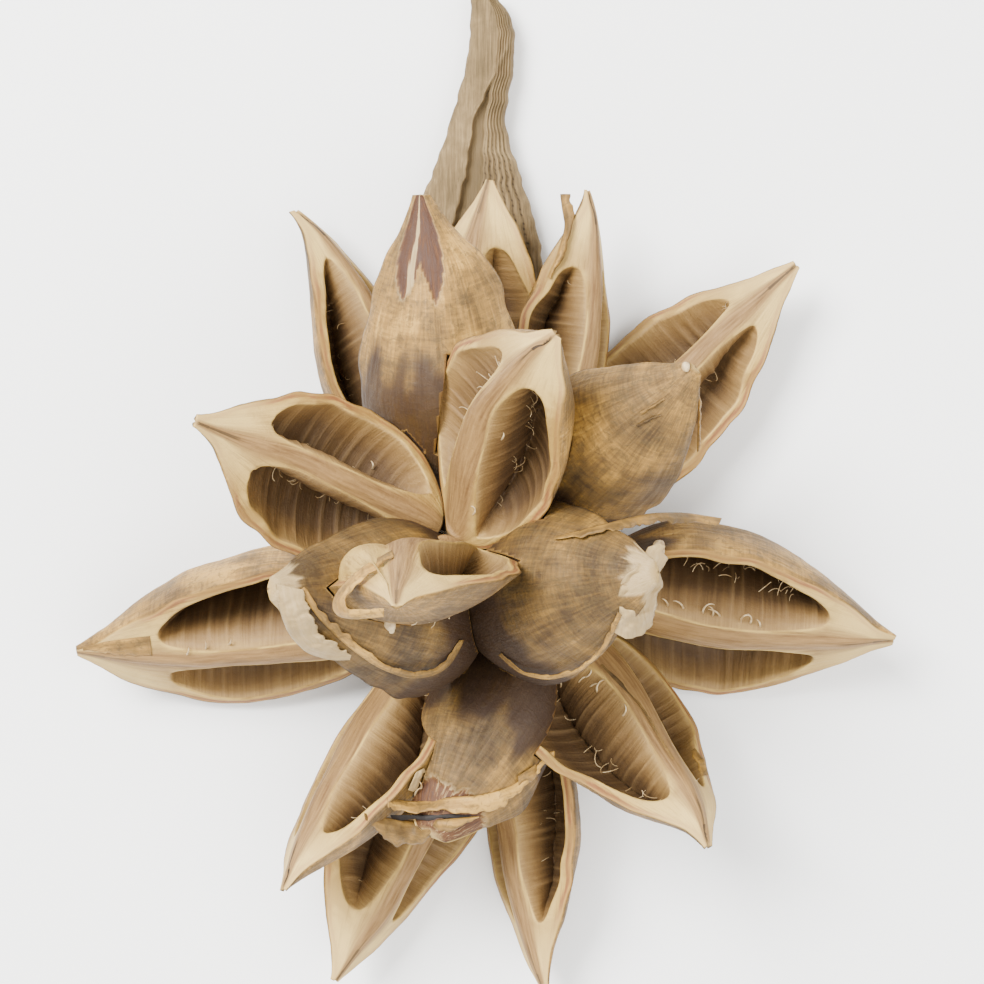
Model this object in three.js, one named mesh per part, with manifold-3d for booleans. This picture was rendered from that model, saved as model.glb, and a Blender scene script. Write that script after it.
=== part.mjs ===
// A dried seed head: six woody capsules, each split into three boat-shaped valves, on a short axis with a strap-like stem.
// It lies on its back on the XY plane with the stem along +Y. Millimetres, +Z up.
import * as THREE from "three";
import Module from "manifold-3d";

// How one valve swells along its length, as fractions of that length.
const BELLY_AT = 0.4;
const BASE_FULLNESS = 0.62;
const FIRST_RING = 0.02;
const LAST_RING = 0.995;
const RING_COUNT = 17;
const TIP_RADIUS = 1.5;

// The chamber hollowed into each cut face.
const CHAMBER_FROM = 0.07;
const CHAMBER_TO = 0.77;
const CHAMBER_END_WIDTH = 0.3;
const CHAMBER_SQUARENESS = 2.4;
const SHELL_WALL = 2.6;
const SEPTUM_HALF_WALL = 1.3;
const RIDGE_LIP = 0.5;
const RIB_DEPTH = 0.7;

// Points round one section of a valve.
const SKIN_STEPS = 6;
const CHAMBER_POINTS = 3;

// Clear space kept between two valves where they crowd together.
const GAP = 0.34;

// The stem is a thick folded strap; the axis under the capsules carries a stub for each.
const STEM_TOP = 128;
const AXIS_RADIUS = 9.5;
const STUB_RADIUS = 7;
const TUBE_SIDES = 10;
const STRAP_FOLDS = 9;

// The middle of the box round the head before it is centred on the origin.
const MIDDLE_X = -1;
const MIDDLE_Y = -0.7;

// Places along a valve where the reach of its two rims is set, with one beyond each end.
const STATIONS = [-0.15, 0.15, 0.35, 0.55, 0.75, 0.92, 1.15];

// What a valve has unless its own entry says otherwise: how far its ridge bows towards the face, half width of
// the ridge at the base and towards the tip, share of the radius left at the middle of the back, where the
// chamber ends, radius of the tip, and the share of the radius each rim has at the five inner stations.
const USUAL = {
  arch: 0, ridge: [2.9, 2], keel: 1, to: CHAMBER_TO, blunt: TIP_RADIUS, port: [1, 1, 1, 1, 1], starboard: [1, 1, 1, 1, 1],
};

// Each valve: base of its inner ridge, tip, turn of its back about its length (0 has the chambers up, 180 has
// the skin up), radius from ridge to skin, half of the opening angle, sideways bend at the middle and how
// slender its beak is. Listed from the valve that keeps its whole shape to the one that gives way.
const VALVES = [
  { name: "front_right", base: [-11, -10.5, 66], tip: [14.5, 37, 116.5], turn: 31, radius: 25.5, half: 61, bend: -7, beak: 1,
    ridge: [4.2, 2.2], to: 0.75, port: [1.12, 1.08, 0.97, 0.82, 0.7], starboard: [1, 0.94, 0.9, 0.9, 1] },
  { name: "front_left", base: [-12, -9, 62], tip: [-69, 15.5, 102], turn: -3, radius: 23, half: 58, bend: 0.8, beak: 1.35,
    ridge: [2.2, 1.6], to: 0.72, port: [1, 0.97, 1, 1.06, 0.85], starboard: [1, 0.9, 0.92, 1.06, 1.25] },
  { name: "front_lower", base: [-12, -10, 66], tip: [-21.7, -24.8, 136], turn: -39, radius: 26, half: 61, bend: 2, beak: 1.1,
    arch: 7, ridge: [8, 3], keel: 0.82 },
  { name: "right_front", base: [3.5, -29, 34], tip: [40, -18.5, 104], turn: 192, radius: 18.8, half: 74, bend: 0, beak: 0.9 },
  { name: "left_front", base: [-11, -32, 34], tip: [-51, -22.5, 106], turn: 164, radius: 18.8, half: 74, bend: 0, beak: 0.9 },
  { name: "upper_left_front", base: [-14.5, 1.5, 36], tip: [-17, 72, 64], turn: 180, radius: 18.8, half: 74, bend: 2.5, beak: 1,
    port: [1, 1, 1, 1.06, 1] },
  { name: "upper_right_front", base: [16, 2, 36], tip: [47.5, 29.5, 98], turn: 180, radius: 19.2, half: 74, bend: 0, beak: 0.9,
    port: [1, 1, 1.05, 1.15, 1.2] },
  { name: "left_lower", base: [-22.5, -39, 28], tip: [-51, -97, 60], turn: -58, radius: 21.5, half: 64, bend: 4, beak: 1.1,
    ridge: [5, 3.2] },
  { name: "right_lower", base: [18.5, -30.5, 30], tip: [53.5, -86, 58], turn: 42, radius: 24, half: 61, bend: -5, beak: 1.15,
    ridge: [3.6, 3] },
  { name: "lower_front", base: [8, -44, 30], tip: [-20, -83, 64], turn: 180, radius: 19.5, half: 74, bend: 0, beak: 0.9 },
  { name: "upper_right_inner", base: [16, 1.5, 33], tip: [23.5, 76.8, 31], turn: -44, radius: 21, half: 52, bend: 8, beak: 1.1,
    ridge: [2.6, 2], to: 0.73, port: [1, 1, 1, 0.95, 0.85] },
  { name: "upper_left_outer", base: [-16, 2.5, 26.6], tip: [-50, 73, 14.5], turn: -57, radius: 19.5, half: 63, bend: 7.5, beak: 1.4,
    to: 0.8, blunt: 2.4 },
  { name: "upper_right_outer", base: [17.5, 1.5, 25.4], tip: [78, 58, 20.4], turn: 15, radius: 22.5, half: 54, bend: -1, beak: 1.1,
    port: [0.93, 0.97, 1.03, 1.05, 1], starboard: [1, 0.93, 0.9, 0.9, 0.9] },
  { name: "left_outer", base: [-23.5, -35.5, 28.9], tip: [-106, -40, 22.8], turn: 50, radius: 27, half: 80, bend: -4.5, beak: 1.05,
    ridge: [3.4, 2.6], to: 0.73, port: [0.68, 0.78, 0.95, 1.12, 1.3], starboard: [1, 1, 0.96, 0.9, 0.8] },
  { name: "right_outer", base: [20, -29, 30.3], tip: [103, -38, 25.3], turn: -50, radius: 27.2, half: 82, bend: 3.5, beak: 1.05,
    ridge: [4.2, 3.2], starboard: [1, 1.03, 1.08, 1.06, 1.05] },
  { name: "lower_outer", base: [-2.5, -47, 29.6], tip: [-40.5, -125, 21.4], turn: 32, radius: 27, half: 56, bend: -5, beak: 1.1,
    keel: 0.9 },
  { name: "lower_inner", base: [-1.5, -48, 24], tip: [13, -128.5, 18], turn: -52, radius: 20, half: 62, bend: 4.1, beak: 1.3,
    ridge: [4.2, 3] },
  { name: "upper_left_inner", base: [-13.5, 2.5, 31], tip: [-2.5, 79.8, 27], turn: 28, radius: 24.5, half: 60, bend: -2.5, beak: 1.1,
    keel: 0.8, port: [1, 1, 1, 0.8, 0.7], starboard: [1, 1, 1, 1.05, 1.15] },
].map((valve) => ({ ...USUAL, ...valve }));

// Strap stations from the axis up to the cut end: centre x, y, z, half width, half thickness and fold height.
const STRAP = [
  [0, 6, 22, 7.5, 5, 0],
  [2, 18, 17, 8.5, 4.5, 0.2],
  [1, 30, 10.5, 11, 3.6, 0.4],
  [-2.5, 43, 7, 15.5, 3, 0.8],
  [-5.5, 56, 6.5, 19, 2.9, 1.1],
  [-5.4, 64.5, 6.5, 18, 2.8, 1.2],
  [-4.5, 73.5, 6.5, 14.5, 2.8, 1.3],
  [-4, 88.5, 6.5, 9.2, 2.8, 1.3],
  [-3, 100.5, 6.5, 6.5, 2.8, 1.2],
  [0.2, 115, 6.5, 6.1, 2.8, 1],
  [-1.4, STEM_TOP, 6.5, 4, 2.6, 0.8],
];

// The axis runs from the strap down under the capsules, in x, y, z.
const AXIS = [[0, 14, 22], [0, 2, 23], [0, -12, 25], [0, -26, 26], [0, -40, 24]];

// The stub under each capsule starts on the axis and ends just short of the valves.
const STUBS = [
  [[0, 2, 23], [-15, 2, 29]],
  [[0, 0, 23], [16, 1, 29]],
  [[0, -12, 25], [-11, -9, 60]],
  [[0, -26, 26], [-21, -36, 28]],
  [[0, -26, 26], [19, -29, 27]],
  [[0, -38, 24], [-1, -48, 24]],
];

const CHAMBER_COLOUR = 0xc9a877;
const SKIN_COLOUR = 0xb8935a;
const STEM_COLOUR = 0xa39373;

const wasm = await Module();
wasm.setup();

const radians = (degrees) => (degrees * Math.PI) / 180;
const clamp = (value, low, high) => Math.min(high, Math.max(low, value));

const smooth = (low, high, value) => {
  const t = clamp((value - low) / (high - low), 0, 1);
  return t * t * (3 - 2 * t);
};

// A smooth curve through the five shares a rim has along its valve.
function profile(u, shares) {
  const heights = [shares[0], ...shares, shares[4]];
  const last = STATIONS.length - 1;
  const slope = (i) => {
    if (i === 0 || i === last) return 0;
    const before = STATIONS[i] - STATIONS[i - 1];
    const after = STATIONS[i + 1] - STATIONS[i];
    const rise = before ** 2 * (heights[i + 1] - heights[i]) + after ** 2 * (heights[i] - heights[i - 1]);
    return rise / (before * after * (before + after));
  };
  const cell = clamp(STATIONS.findLastIndex((place) => place <= u), 0, last - 1);
  const width = STATIONS[cell + 1] - STATIONS[cell];
  const t = clamp((u - STATIONS[cell]) / width, 0, 1);
  return heights[cell] * (1 + 2 * t) * (1 - t) ** 2 + slope(cell) * width * t * (1 - t) ** 2
    + heights[cell + 1] * t * t * (3 - 2 * t) + slope(cell + 1) * width * t * t * (t - 1);
}

// 0 at both ends of a valve and 1 at its belly.
function swelling(u, beak) {
  const power = Math.log(0.5) / Math.log(BELLY_AT);
  const wave = Math.sin(Math.PI * Math.pow(u, power));
  return Math.pow(Math.max(0, wave), BASE_FULLNESS + (beak - BASE_FULLNESS) * u);
}

// The axes of a valve's own frame: along its length, across it, and outward through its back.
function valveFrame(valve) {
  const base = new THREE.Vector3(...valve.base);
  const span = new THREE.Vector3(...valve.tip).sub(base);
  const length = span.length();
  const along = span.normalize();
  const up = new THREE.Vector3(0, 0, 1);
  const side = new THREE.Vector3().crossVectors(along, up).normalize();
  const down = up.clone().addScaledVector(along, -along.z).negate().normalize();
  const turn = radians(valve.turn);
  const back = down.multiplyScalar(Math.cos(turn)).addScaledVector(side, Math.sin(turn));
  const across = new THREE.Vector3().crossVectors(along, back);
  return { base, length, along, across, back, side };
}

// A point of a valve, from its place along the length and its x, y in the section.
function placed(frame, valve, u, x, y) {
  return frame.base.clone()
    .addScaledVector(frame.along, u * frame.length)
    .addScaledVector(frame.across, x)
    .addScaledVector(frame.back, y - valve.arch * 4 * u * (1 - u))
    .addScaledVector(frame.side, valve.bend * 4 * u * (1 - u));
}

// The inner wall of one chamber in polar form about the ridge, from the ridge's lip round to the rim.
function chamberPoint(share, lip, rim, wall, half) {
  const septum = (r) => Math.asin(clamp(SEPTUM_HALF_WALL / r, 0, 0.9));
  if (share < 0.5) {
    const t = share / 0.5;
    const r = lip + (wall - lip) * Math.sin(t * Math.PI / 2);
    const angle = septum(r) + (half - septum(r)) * (1 - Math.sqrt(1 - (1 - t) ** 2));
    return [r * Math.sin(angle), r * Math.cos(angle)];
  }
  const t = (share - 0.5) / 0.5;
  const angle = septum(wall) + (half - septum(wall)) * t;
  const r = wall + (rim - wall) * t;
  return [r * Math.sin(angle), r * Math.cos(angle)];
}

// One cut face of a valve from its rim to its ridge, sunk into a chamber; `skinAt` gives the skin's radius.
function faceSection(valve, u, rib, hollow, side, ridgeAt, skinAt) {
  const half = radians(valve.half);
  const inner = ridgeAt + RIDGE_LIP;
  const thickness = SHELL_WALL * (0.75 + 0.6 * u);
  const wall = Math.max(side - thickness, inner + 0.4);
  const middle = (CHAMBER_FROM + valve.to) / 2;
  const reach = clamp(Math.abs(u - middle) / ((valve.to - CHAMBER_FROM) / 2), 0, 1);
  const power = u > middle ? CHAMBER_SQUARENESS + 0.8 : CHAMBER_SQUARENESS;
  const width = Math.max(CHAMBER_END_WIDTH, Math.pow(1 - Math.pow(reach, power), 1 / power));
  const depth = hollow ? Math.sqrt(1 - Math.pow(reach, 4)) : 0;
  const centre = (inner + wall) / 2;
  const lip = centre + (inner - centre) * width;
  const rim = centre + (wall - centre) * width;
  const face = [[rim * Math.sin(half), rim * Math.cos(half)]];
  for (let k = CHAMBER_POINTS; k >= 1; k -= 1) {
    const share = k / (CHAMBER_POINTS + 1);
    const [openX, openY] = chamberPoint(share, lip, rim, wall - rib, half);
    const limit = (skinAt(Math.atan2(openX, openY) / half) - thickness) / Math.hypot(openX, openY);
    const pull = Math.min(1, limit);
    const chord = lip + (rim - lip) * share;
    const flatX = chord * Math.sin(half);
    const flatY = chord * Math.cos(half);
    face.push([flatX + (openX * pull - flatX) * depth, flatY + (openY * pull - flatY) * depth]);
  }
  face.push([lip * Math.sin(half), lip * Math.cos(half)], [ridgeAt * Math.sin(half), ridgeAt * Math.cos(half)]);
  return face;
}

// One section of a valve. `hollow` false leaves the chambers out, and `grow` swells the section all round.
function valveSection(valve, u, rib, hollow, grow) {
  const half = radians(valve.half);
  const shift = grow / Math.sin(half);
  const radius = valve.radius * swelling(u, valve.beak) + valve.blunt * smooth(0, 0.03, u);
  const crest = valve.ridge[0] + (valve.ridge[1] - valve.ridge[0]) * smooth(0.3, 0.65, u);
  const ridge = Math.min(crest * Math.pow(1 - u ** 4, 0.8), 0.45 * radius) + 0.15;
  const ridgeAt = ridge / Math.sin(half);
  const port = radius * profile(u, valve.port);
  const starboard = radius * profile(u, valve.starboard);
  const keel = radius * valve.keel;
  const skinAt = (share) => keel + ((share > 0 ? port : starboard) - keel) * share ** 2;
  const points = [];
  for (let k = 0; k <= SKIN_STEPS; k += 1) {
    const share = (2 * k) / SKIN_STEPS - 1;
    const reach = skinAt(share) + grow + shift;
    points.push([reach * Math.sin(share * half), reach * Math.cos(share * half) - shift]);
  }
  const portFace = faceSection(valve, u, rib, hollow, port + grow + shift, ridgeAt, skinAt);
  const starboardFace = faceSection(valve, u, rib, hollow, starboard + grow + shift, ridgeAt, skinAt);
  for (const [x, y] of portFace) points.push([x, y - shift]);
  for (const [x, y] of starboardFace.reverse()) points.push([-x, y - shift]);
  return points;
}

// Rings of points joined into a closed solid as flat vertex and triangle lists.
function closedLoft(rings) {
  const count = rings[0].length;
  const vertices = rings.flat().flatMap((point) => [point.x, point.y, point.z]);
  const triangles = [];
  for (let i = 0; i + 1 < rings.length; i += 1) {
    for (let k = 0; k < count; k += 1) {
      const a = i * count + k;
      const b = i * count + ((k + 1) % count);
      triangles.push(a, b, b + count, a, b + count, a + count);
    }
  }
  for (const [ring, flip] of [[0, true], [rings.length - 1, false]]) {
    const middle = rings[ring].reduce((sum, point) => sum.add(point), new THREE.Vector3()).divideScalar(count);
    const hub = vertices.length / 3;
    vertices.push(middle.x, middle.y, middle.z);
    for (let k = 0; k < count; k += 1) {
      const a = ring * count + k;
      const b = ring * count + ((k + 1) % count);
      if (flip) triangles.push(hub, b, a);
      else triangles.push(hub, a, b);
    }
  }
  return { vertices, triangles };
}

function asSolid({ vertices, triangles }) {
  return new wasm.Manifold(new wasm.Mesh({
    numProp: 3,
    vertProperties: new Float32Array(vertices),
    triVerts: new Uint32Array(triangles),
  }));
}

function valveSolid(valve, hollow, grow) {
  const frame = valveFrame(valve);
  const rings = [];
  const spare = grow / frame.length;
  for (let i = 0; i < RING_COUNT; i += 1) {
    const share = i / (RING_COUNT - 1);
    const u = FIRST_RING + (LAST_RING - FIRST_RING) * share;
    const shown = u - spare + 2 * spare * share;
    const rib = i % 2 ? RIB_DEPTH : 0;
    const section = valveSection(valve, u, rib, hollow, grow);
    rings.push(section.map(([x, y]) => placed(frame, valve, shown, x, y)));
  }
  return asSolid(closedLoft(rings));
}

// A thick strap whose upper face carries lengthwise folds.
function strapSolid() {
  const rings = STRAP.map(([x, y, z, halfWidth, halfThickness, fold]) => {
    const ring = [];
    for (let k = 0; k <= STRAP_FOLDS - 1; k += 1) {
      const share = k / (STRAP_FOLDS - 1);
      const edge = Math.sin(Math.PI * share);
      const wave = k % 2 ? fold : -fold;
      const channel = -1.6 * fold * Math.exp(-(((share - 0.38) / 0.16) ** 2));
      const top = halfThickness * (0.35 + 0.65 * Math.sqrt(edge)) + (share > 0.5 ? wave * 0.6 : 0) + channel;
      ring.push(new THREE.Vector3(x - halfWidth * Math.cos(Math.PI * share) * (0.25 + 0.75 * edge)
        - halfWidth * (1 - edge) * 0.75 * Math.sign(0.5 - share) * (share === 0.5 ? 0 : 1), y, z + top));
    }
    for (let k = STRAP_FOLDS - 2; k >= 1; k -= 1) {
      const share = k / (STRAP_FOLDS - 1);
      ring.push(new THREE.Vector3(x + halfWidth * (2 * share - 1), y, z - halfThickness * Math.sin(Math.PI * share)));
    }
    return ring;
  });
  return asSolid(closedLoft(rings));
}

// A round tube through a line of points, narrowing to `endRadius`.
function tubeSolid(line, startRadius, endRadius) {
  const path = line.map((point) => new THREE.Vector3(...point));
  const rings = path.map((point, i) => {
    const before = path[Math.max(0, i - 1)];
    const after = path[Math.min(path.length - 1, i + 1)];
    const along = after.clone().sub(before).normalize();
    const hint = Math.abs(along.z) > 0.8 ? new THREE.Vector3(1, 0, 0) : new THREE.Vector3(0, 0, 1);
    const right = new THREE.Vector3().crossVectors(along, hint).normalize();
    const ahead = new THREE.Vector3().crossVectors(along, right);
    const radius = startRadius + (endRadius - startRadius) * (i / (path.length - 1));
    return Array.from({ length: TUBE_SIDES }, (_, k) => {
      const angle = (2 * Math.PI * k) / TUBE_SIDES;
      return point.clone()
        .addScaledVector(right, radius * Math.cos(angle))
        .addScaledVector(ahead, radius * Math.sin(angle));
    });
  });
  return asSolid(closedLoft(rings));
}

// Of the pieces a cut leaves, the largest is the part.
function largest(solid) {
  return solid.decompose().sort((a, b) => b.volume() - a.volume())[0];
}

// Everything below the surface the head rests on is cut away, which leaves a small flat under each lowest valve.
function floorSolid() {
  const corners = [[-200, -200], [200, -200], [200, 200], [-200, 200]];
  const rings = [-60, 0].map((z) => corners.map(([x, y]) => new THREE.Vector3(x, y, z)));
  return asSolid(closedLoft(rings));
}

function asMesh(name, solid, colour, roughness) {
  const { numProp, vertProperties, triVerts } = solid.getMesh();
  const positions = [];
  for (let i = 0; i < vertProperties.length; i += numProp) {
    positions.push(vertProperties[i] - MIDDLE_X, vertProperties[i + 1] - MIDDLE_Y, vertProperties[i + 2]);
  }
  const geometry = new THREE.BufferGeometry();
  geometry.setAttribute("position", new THREE.Float32BufferAttribute(positions, 3));
  geometry.setIndex(Array.from(triVerts));
  geometry.computeVertexNormals();
  const material = new THREE.MeshStandardMaterial({ name, color: colour, roughness, metalness: 0 });
  const mesh = new THREE.Mesh(geometry, material);
  mesh.name = name;
  return mesh;
}

const group = new THREE.Group();
group.name = "star_pod";
const floor = floorSolid();
const kept = [];
for (const valve of VALVES) {
  let solid = valveSolid(valve, true, 0);
  for (const neighbour of kept) {
    solid = solid.subtract(neighbour);
  }
  solid = largest(solid.subtract(floor));
  const colour = Math.cos(radians(valve.turn)) < 0 ? SKIN_COLOUR : CHAMBER_COLOUR;
  group.add(asMesh(valve.name, solid, colour, 0.75));
  kept.push(valveSolid(valve, false, GAP));
}

let stem = strapSolid().add(tubeSolid(AXIS, AXIS_RADIUS, AXIS_RADIUS * 0.7));
for (const line of STUBS) {
  stem = stem.add(tubeSolid(line, STUB_RADIUS, STUB_RADIUS * 0.8));
}
for (const neighbour of kept) {
  stem = stem.subtract(neighbour);
}
group.add(asMesh("stem", largest(stem), STEM_COLOUR, 0.85));

export default group;
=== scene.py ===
"""A dried seed head of six split woody capsules with a strap-like stem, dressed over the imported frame.

Lengths are in millimetres inside the classes and become metres where a mesh is made. What a node
tree or the studio holds is in metres.
"""
import logging
import math
from dataclasses import dataclass, field
from enum import Enum

import bmesh
import bpy
import numpy as np
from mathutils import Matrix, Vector
from mathutils.bvhtree import BVHTree


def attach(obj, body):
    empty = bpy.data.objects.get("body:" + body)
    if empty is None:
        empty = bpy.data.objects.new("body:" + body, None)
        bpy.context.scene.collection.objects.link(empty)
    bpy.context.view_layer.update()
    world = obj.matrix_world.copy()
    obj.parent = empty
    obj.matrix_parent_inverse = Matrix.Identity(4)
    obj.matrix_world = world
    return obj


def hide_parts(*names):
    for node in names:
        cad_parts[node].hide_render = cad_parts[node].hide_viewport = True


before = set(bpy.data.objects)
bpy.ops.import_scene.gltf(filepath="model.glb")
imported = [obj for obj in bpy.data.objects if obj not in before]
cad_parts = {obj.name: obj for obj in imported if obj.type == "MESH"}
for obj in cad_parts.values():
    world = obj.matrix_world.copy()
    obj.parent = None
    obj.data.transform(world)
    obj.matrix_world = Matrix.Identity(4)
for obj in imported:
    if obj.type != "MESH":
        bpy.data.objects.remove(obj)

LOG = logging.getLogger("star_pod")

MILLIMETRE = 0.001
MIDDLE = np.array([-1.0, -0.7, 0.0])  # the frame's origin, from the point under the camera
VIEW_HEIGHT = 940.0  # of the camera, above the floor
VIEW_PIXELS = 984
PIXEL = 0.25  # width of one picture pixel at PIXEL_LEVEL above the floor
PIXEL_LEVEL = 40.0
UP = np.array([0.0, 0.0, 1.0])

SCRAMBLE = np.array([374761393, 668265263, 1440662683])
SCRAMBLE_SEED = 1274126177
SCRAMBLE_AGAIN = 1103515245
VALVE_SEED = 100
SCRAP_SEED = 300
SCRAP_SEED_STEP = 7
WORD = 0xFFFFFFFF
HALF_WORD = 0xFFFF

Axes = tuple[np.ndarray, float, np.ndarray, np.ndarray, np.ndarray, np.ndarray]
Body = tuple[np.ndarray, list[list[int]]]
Marks = dict[str, np.ndarray]
Spot = tuple[float, float, float]


def linear(code: str) -> tuple[float, float, float, float]:
    """Turn a six-digit display colour into the linear colour that shaders take.

    Args:
        code: the colour as RRGGBB.

    Returns:
        Linear red, green, blue and an alpha of 1.
    """
    parts = [int(code[i:i + 2], 16) / 255 for i in (0, 2, 4)]
    low = [c / 12.92 if c <= 0.04045 else ((c + 0.055) / 1.055) ** 2.4 for c in parts]
    return (low[0], low[1], low[2], 1.0)


def smooth(low: float, high: float, value: np.ndarray) -> np.ndarray:
    """Rise smoothly from 0 at low to 1 at high.

    Args:
        low: where the rise starts.
        high: where it ends.
        value: the numbers to look up.

    Returns:
        The risen values, between 0 and 1.
    """
    t = np.clip((value - low) / (high - low), 0.0, 1.0)
    return t * t * (3 - 2 * t)


def cloud(points: np.ndarray, seed: int) -> np.ndarray:
    """Give a smooth random value between -1 and 1 at each point.

    Args:
        points: an array whose last axis holds three coordinates.
        seed: a fixed number for this pattern.

    Returns:
        One value for each point.
    """
    cell = np.floor(points).astype(np.int64)
    part = points - cell
    part = part * part * (3 - 2 * part)
    total = np.zeros(points.shape[:-1])
    for corner in range(8):
        step = np.array([(corner >> axis) & 1 for axis in range(3)])
        mixed = (((cell + step) * SCRAMBLE).sum(axis=-1) + seed * SCRAMBLE_SEED) & WORD
        mixed = ((mixed ^ (mixed >> 13)) * SCRAMBLE_AGAIN) & WORD
        mixed = (mixed ^ (mixed >> 16)) & HALF_WORD
        weight = np.prod(np.where(step == 1, part, 1 - part), axis=-1)
        total = total + weight * (mixed / (HALF_WORD / 2) - 1)
    return total


@dataclass(frozen=True)
class Wander:
    """One slow unevenness: how far it shifts a point, how far apart its swells are, and its draw."""

    size: float
    pitch: float
    apart: float
    seed: int


WANDERS = (Wander(1.3, 26, 3.7, 61), Wander(0.5, 11, 1.9, 71))


def warped(points: np.ndarray) -> np.ndarray:
    """Shift points by the slow unevenness that all the valves share.

    Args:
        points: places in millimetres.

    Returns:
        The shifted places.
    """
    moved = points
    for wander in WANDERS:
        shift = [cloud(points / wander.pitch + wander.apart * axis, wander.seed + axis)
                 for axis in range(3)]
        moved = moved + wander.size * np.stack(shift, axis=-1)
    return moved


def linked(name: str, data: bpy.types.ID) -> bpy.types.Object:
    """Make an object of a mesh, a lamp or a camera and put it in the scene.

    Args:
        name: the new object's name.
        data: what it holds.

    Returns:
        The linked object.
    """
    thing = bpy.data.objects.new(name, data)
    bpy.context.collection.objects.link(thing)
    return thing


def gathered(bodies: list[Body]) -> Body:
    """Join several small bodies.

    Args:
        bodies: points and faces of each.

    Returns:
        One list of points and one of faces.
    """
    faces: list[list[int]] = []
    start = 0
    for points, cells in bodies:
        faces += [[index + start for index in cell] for cell in cells]
        start += len(points)
    return np.concatenate([points for points, _ in bodies]), faces


def tube(path: np.ndarray, radii: np.ndarray, sides: int, steep: float) -> Body:
    """Make a closed round tube through a line.

    Args:
        path: the points it runs through.
        radii: its radius at each point.
        sides: faces round it.
        steep: how upright a stretch may be before its ring is set out from +X and not from +Z.

    Returns:
        Its points and faces.
    """
    rings = []
    last = len(path) - 1
    angle = np.linspace(0, 2 * math.pi, sides, endpoint=False)[:, None]
    for i, point in enumerate(path):
        along = path[min(i + 1, last)] - path[max(i - 1, 0)]
        along = along / np.linalg.norm(along)
        hint = np.array([1.0, 0, 0]) if abs(along[2]) > steep else UP
        right = np.cross(along, hint)
        right = right / np.linalg.norm(right)
        ahead = np.cross(along, right)
        rings.append(point + radii[i] * (np.cos(angle) * right + np.sin(angle) * ahead))
    faces = [[i * sides + k, i * sides + (k + 1) % sides, (i + 1) * sides + (k + 1) % sides,
              (i + 1) * sides + k] for i in range(last) for k in range(sides)]
    faces += [list(range(sides - 1, -1, -1)), [last * sides + k for k in range(sides)]]
    return np.concatenate(rings), faces


def coordinates(mesh: bpy.types.Mesh, name: str = "co") -> np.ndarray:
    """Read a vector of each vertex of a mesh.

    Args:
        mesh: the mesh.
        name: which vector, the vertex's place where nothing else is named.

    Returns:
        One row of three numbers for each vertex.
    """
    flat = np.empty(len(mesh.vertices) * 3, np.float32)
    mesh.vertices.foreach_get(name, flat)
    return flat.reshape(-1, 3)


class Peel(Enum):
    """How the outer skin has come away near a valve's beak."""

    WHOLE = "whole"
    VEES = "vees"
    BEAK = "beak"
    LIP = "lip"


RECESS = {Peel.WHOLE: 0.0, Peel.VEES: 0.55, Peel.BEAK: 0.7, Peel.LIP: 1.3}
PLAIN = (1.0, 1.0, 1.0, 1.0, 1.0)


@dataclass(frozen=True)
class ValveSpec:
    """Place and habit of one valve, in millimetres and degrees.

    Port and starboard scale the radius of each rim at five places along the length. Dome is how far
    the starboard chamber's wall bulges when it has stayed shut, and shallow is how much of the port
    chamber's depth is missing.
    """

    name: str
    base: tuple[float, float, float]
    tip: tuple[float, float, float]
    turn: float
    radius: float
    half: float
    bend: float
    beak: float
    arch: float = 0.0
    ridge: tuple[float, float] = (2.9, 2.0)
    keel: float = 1.0
    to: float = 0.77
    blunt: float = 1.5
    port: tuple[float, ...] = PLAIN
    starboard: tuple[float, ...] = PLAIN
    # stain_and_shade: place along the length below which the skin turns dark, a real stain that also serves
    # as painted shade where the bases crowd together
    stain_and_shade: float = 0.25
    peel: Peel = Peel.WHOLE
    fork: float = 0.0
    hooks: int = 0
    # tone: lightens and darkens the valve's whole skin, painted light and shade for how the light falls on
    # it
    tone: float = 0.0
    dome: float = 0.0
    shallow: float = 0.0
    peel_from: float = 0.9


# The tone values are painted light and shade: the front and lower valves darker, the outer ones lighter
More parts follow.
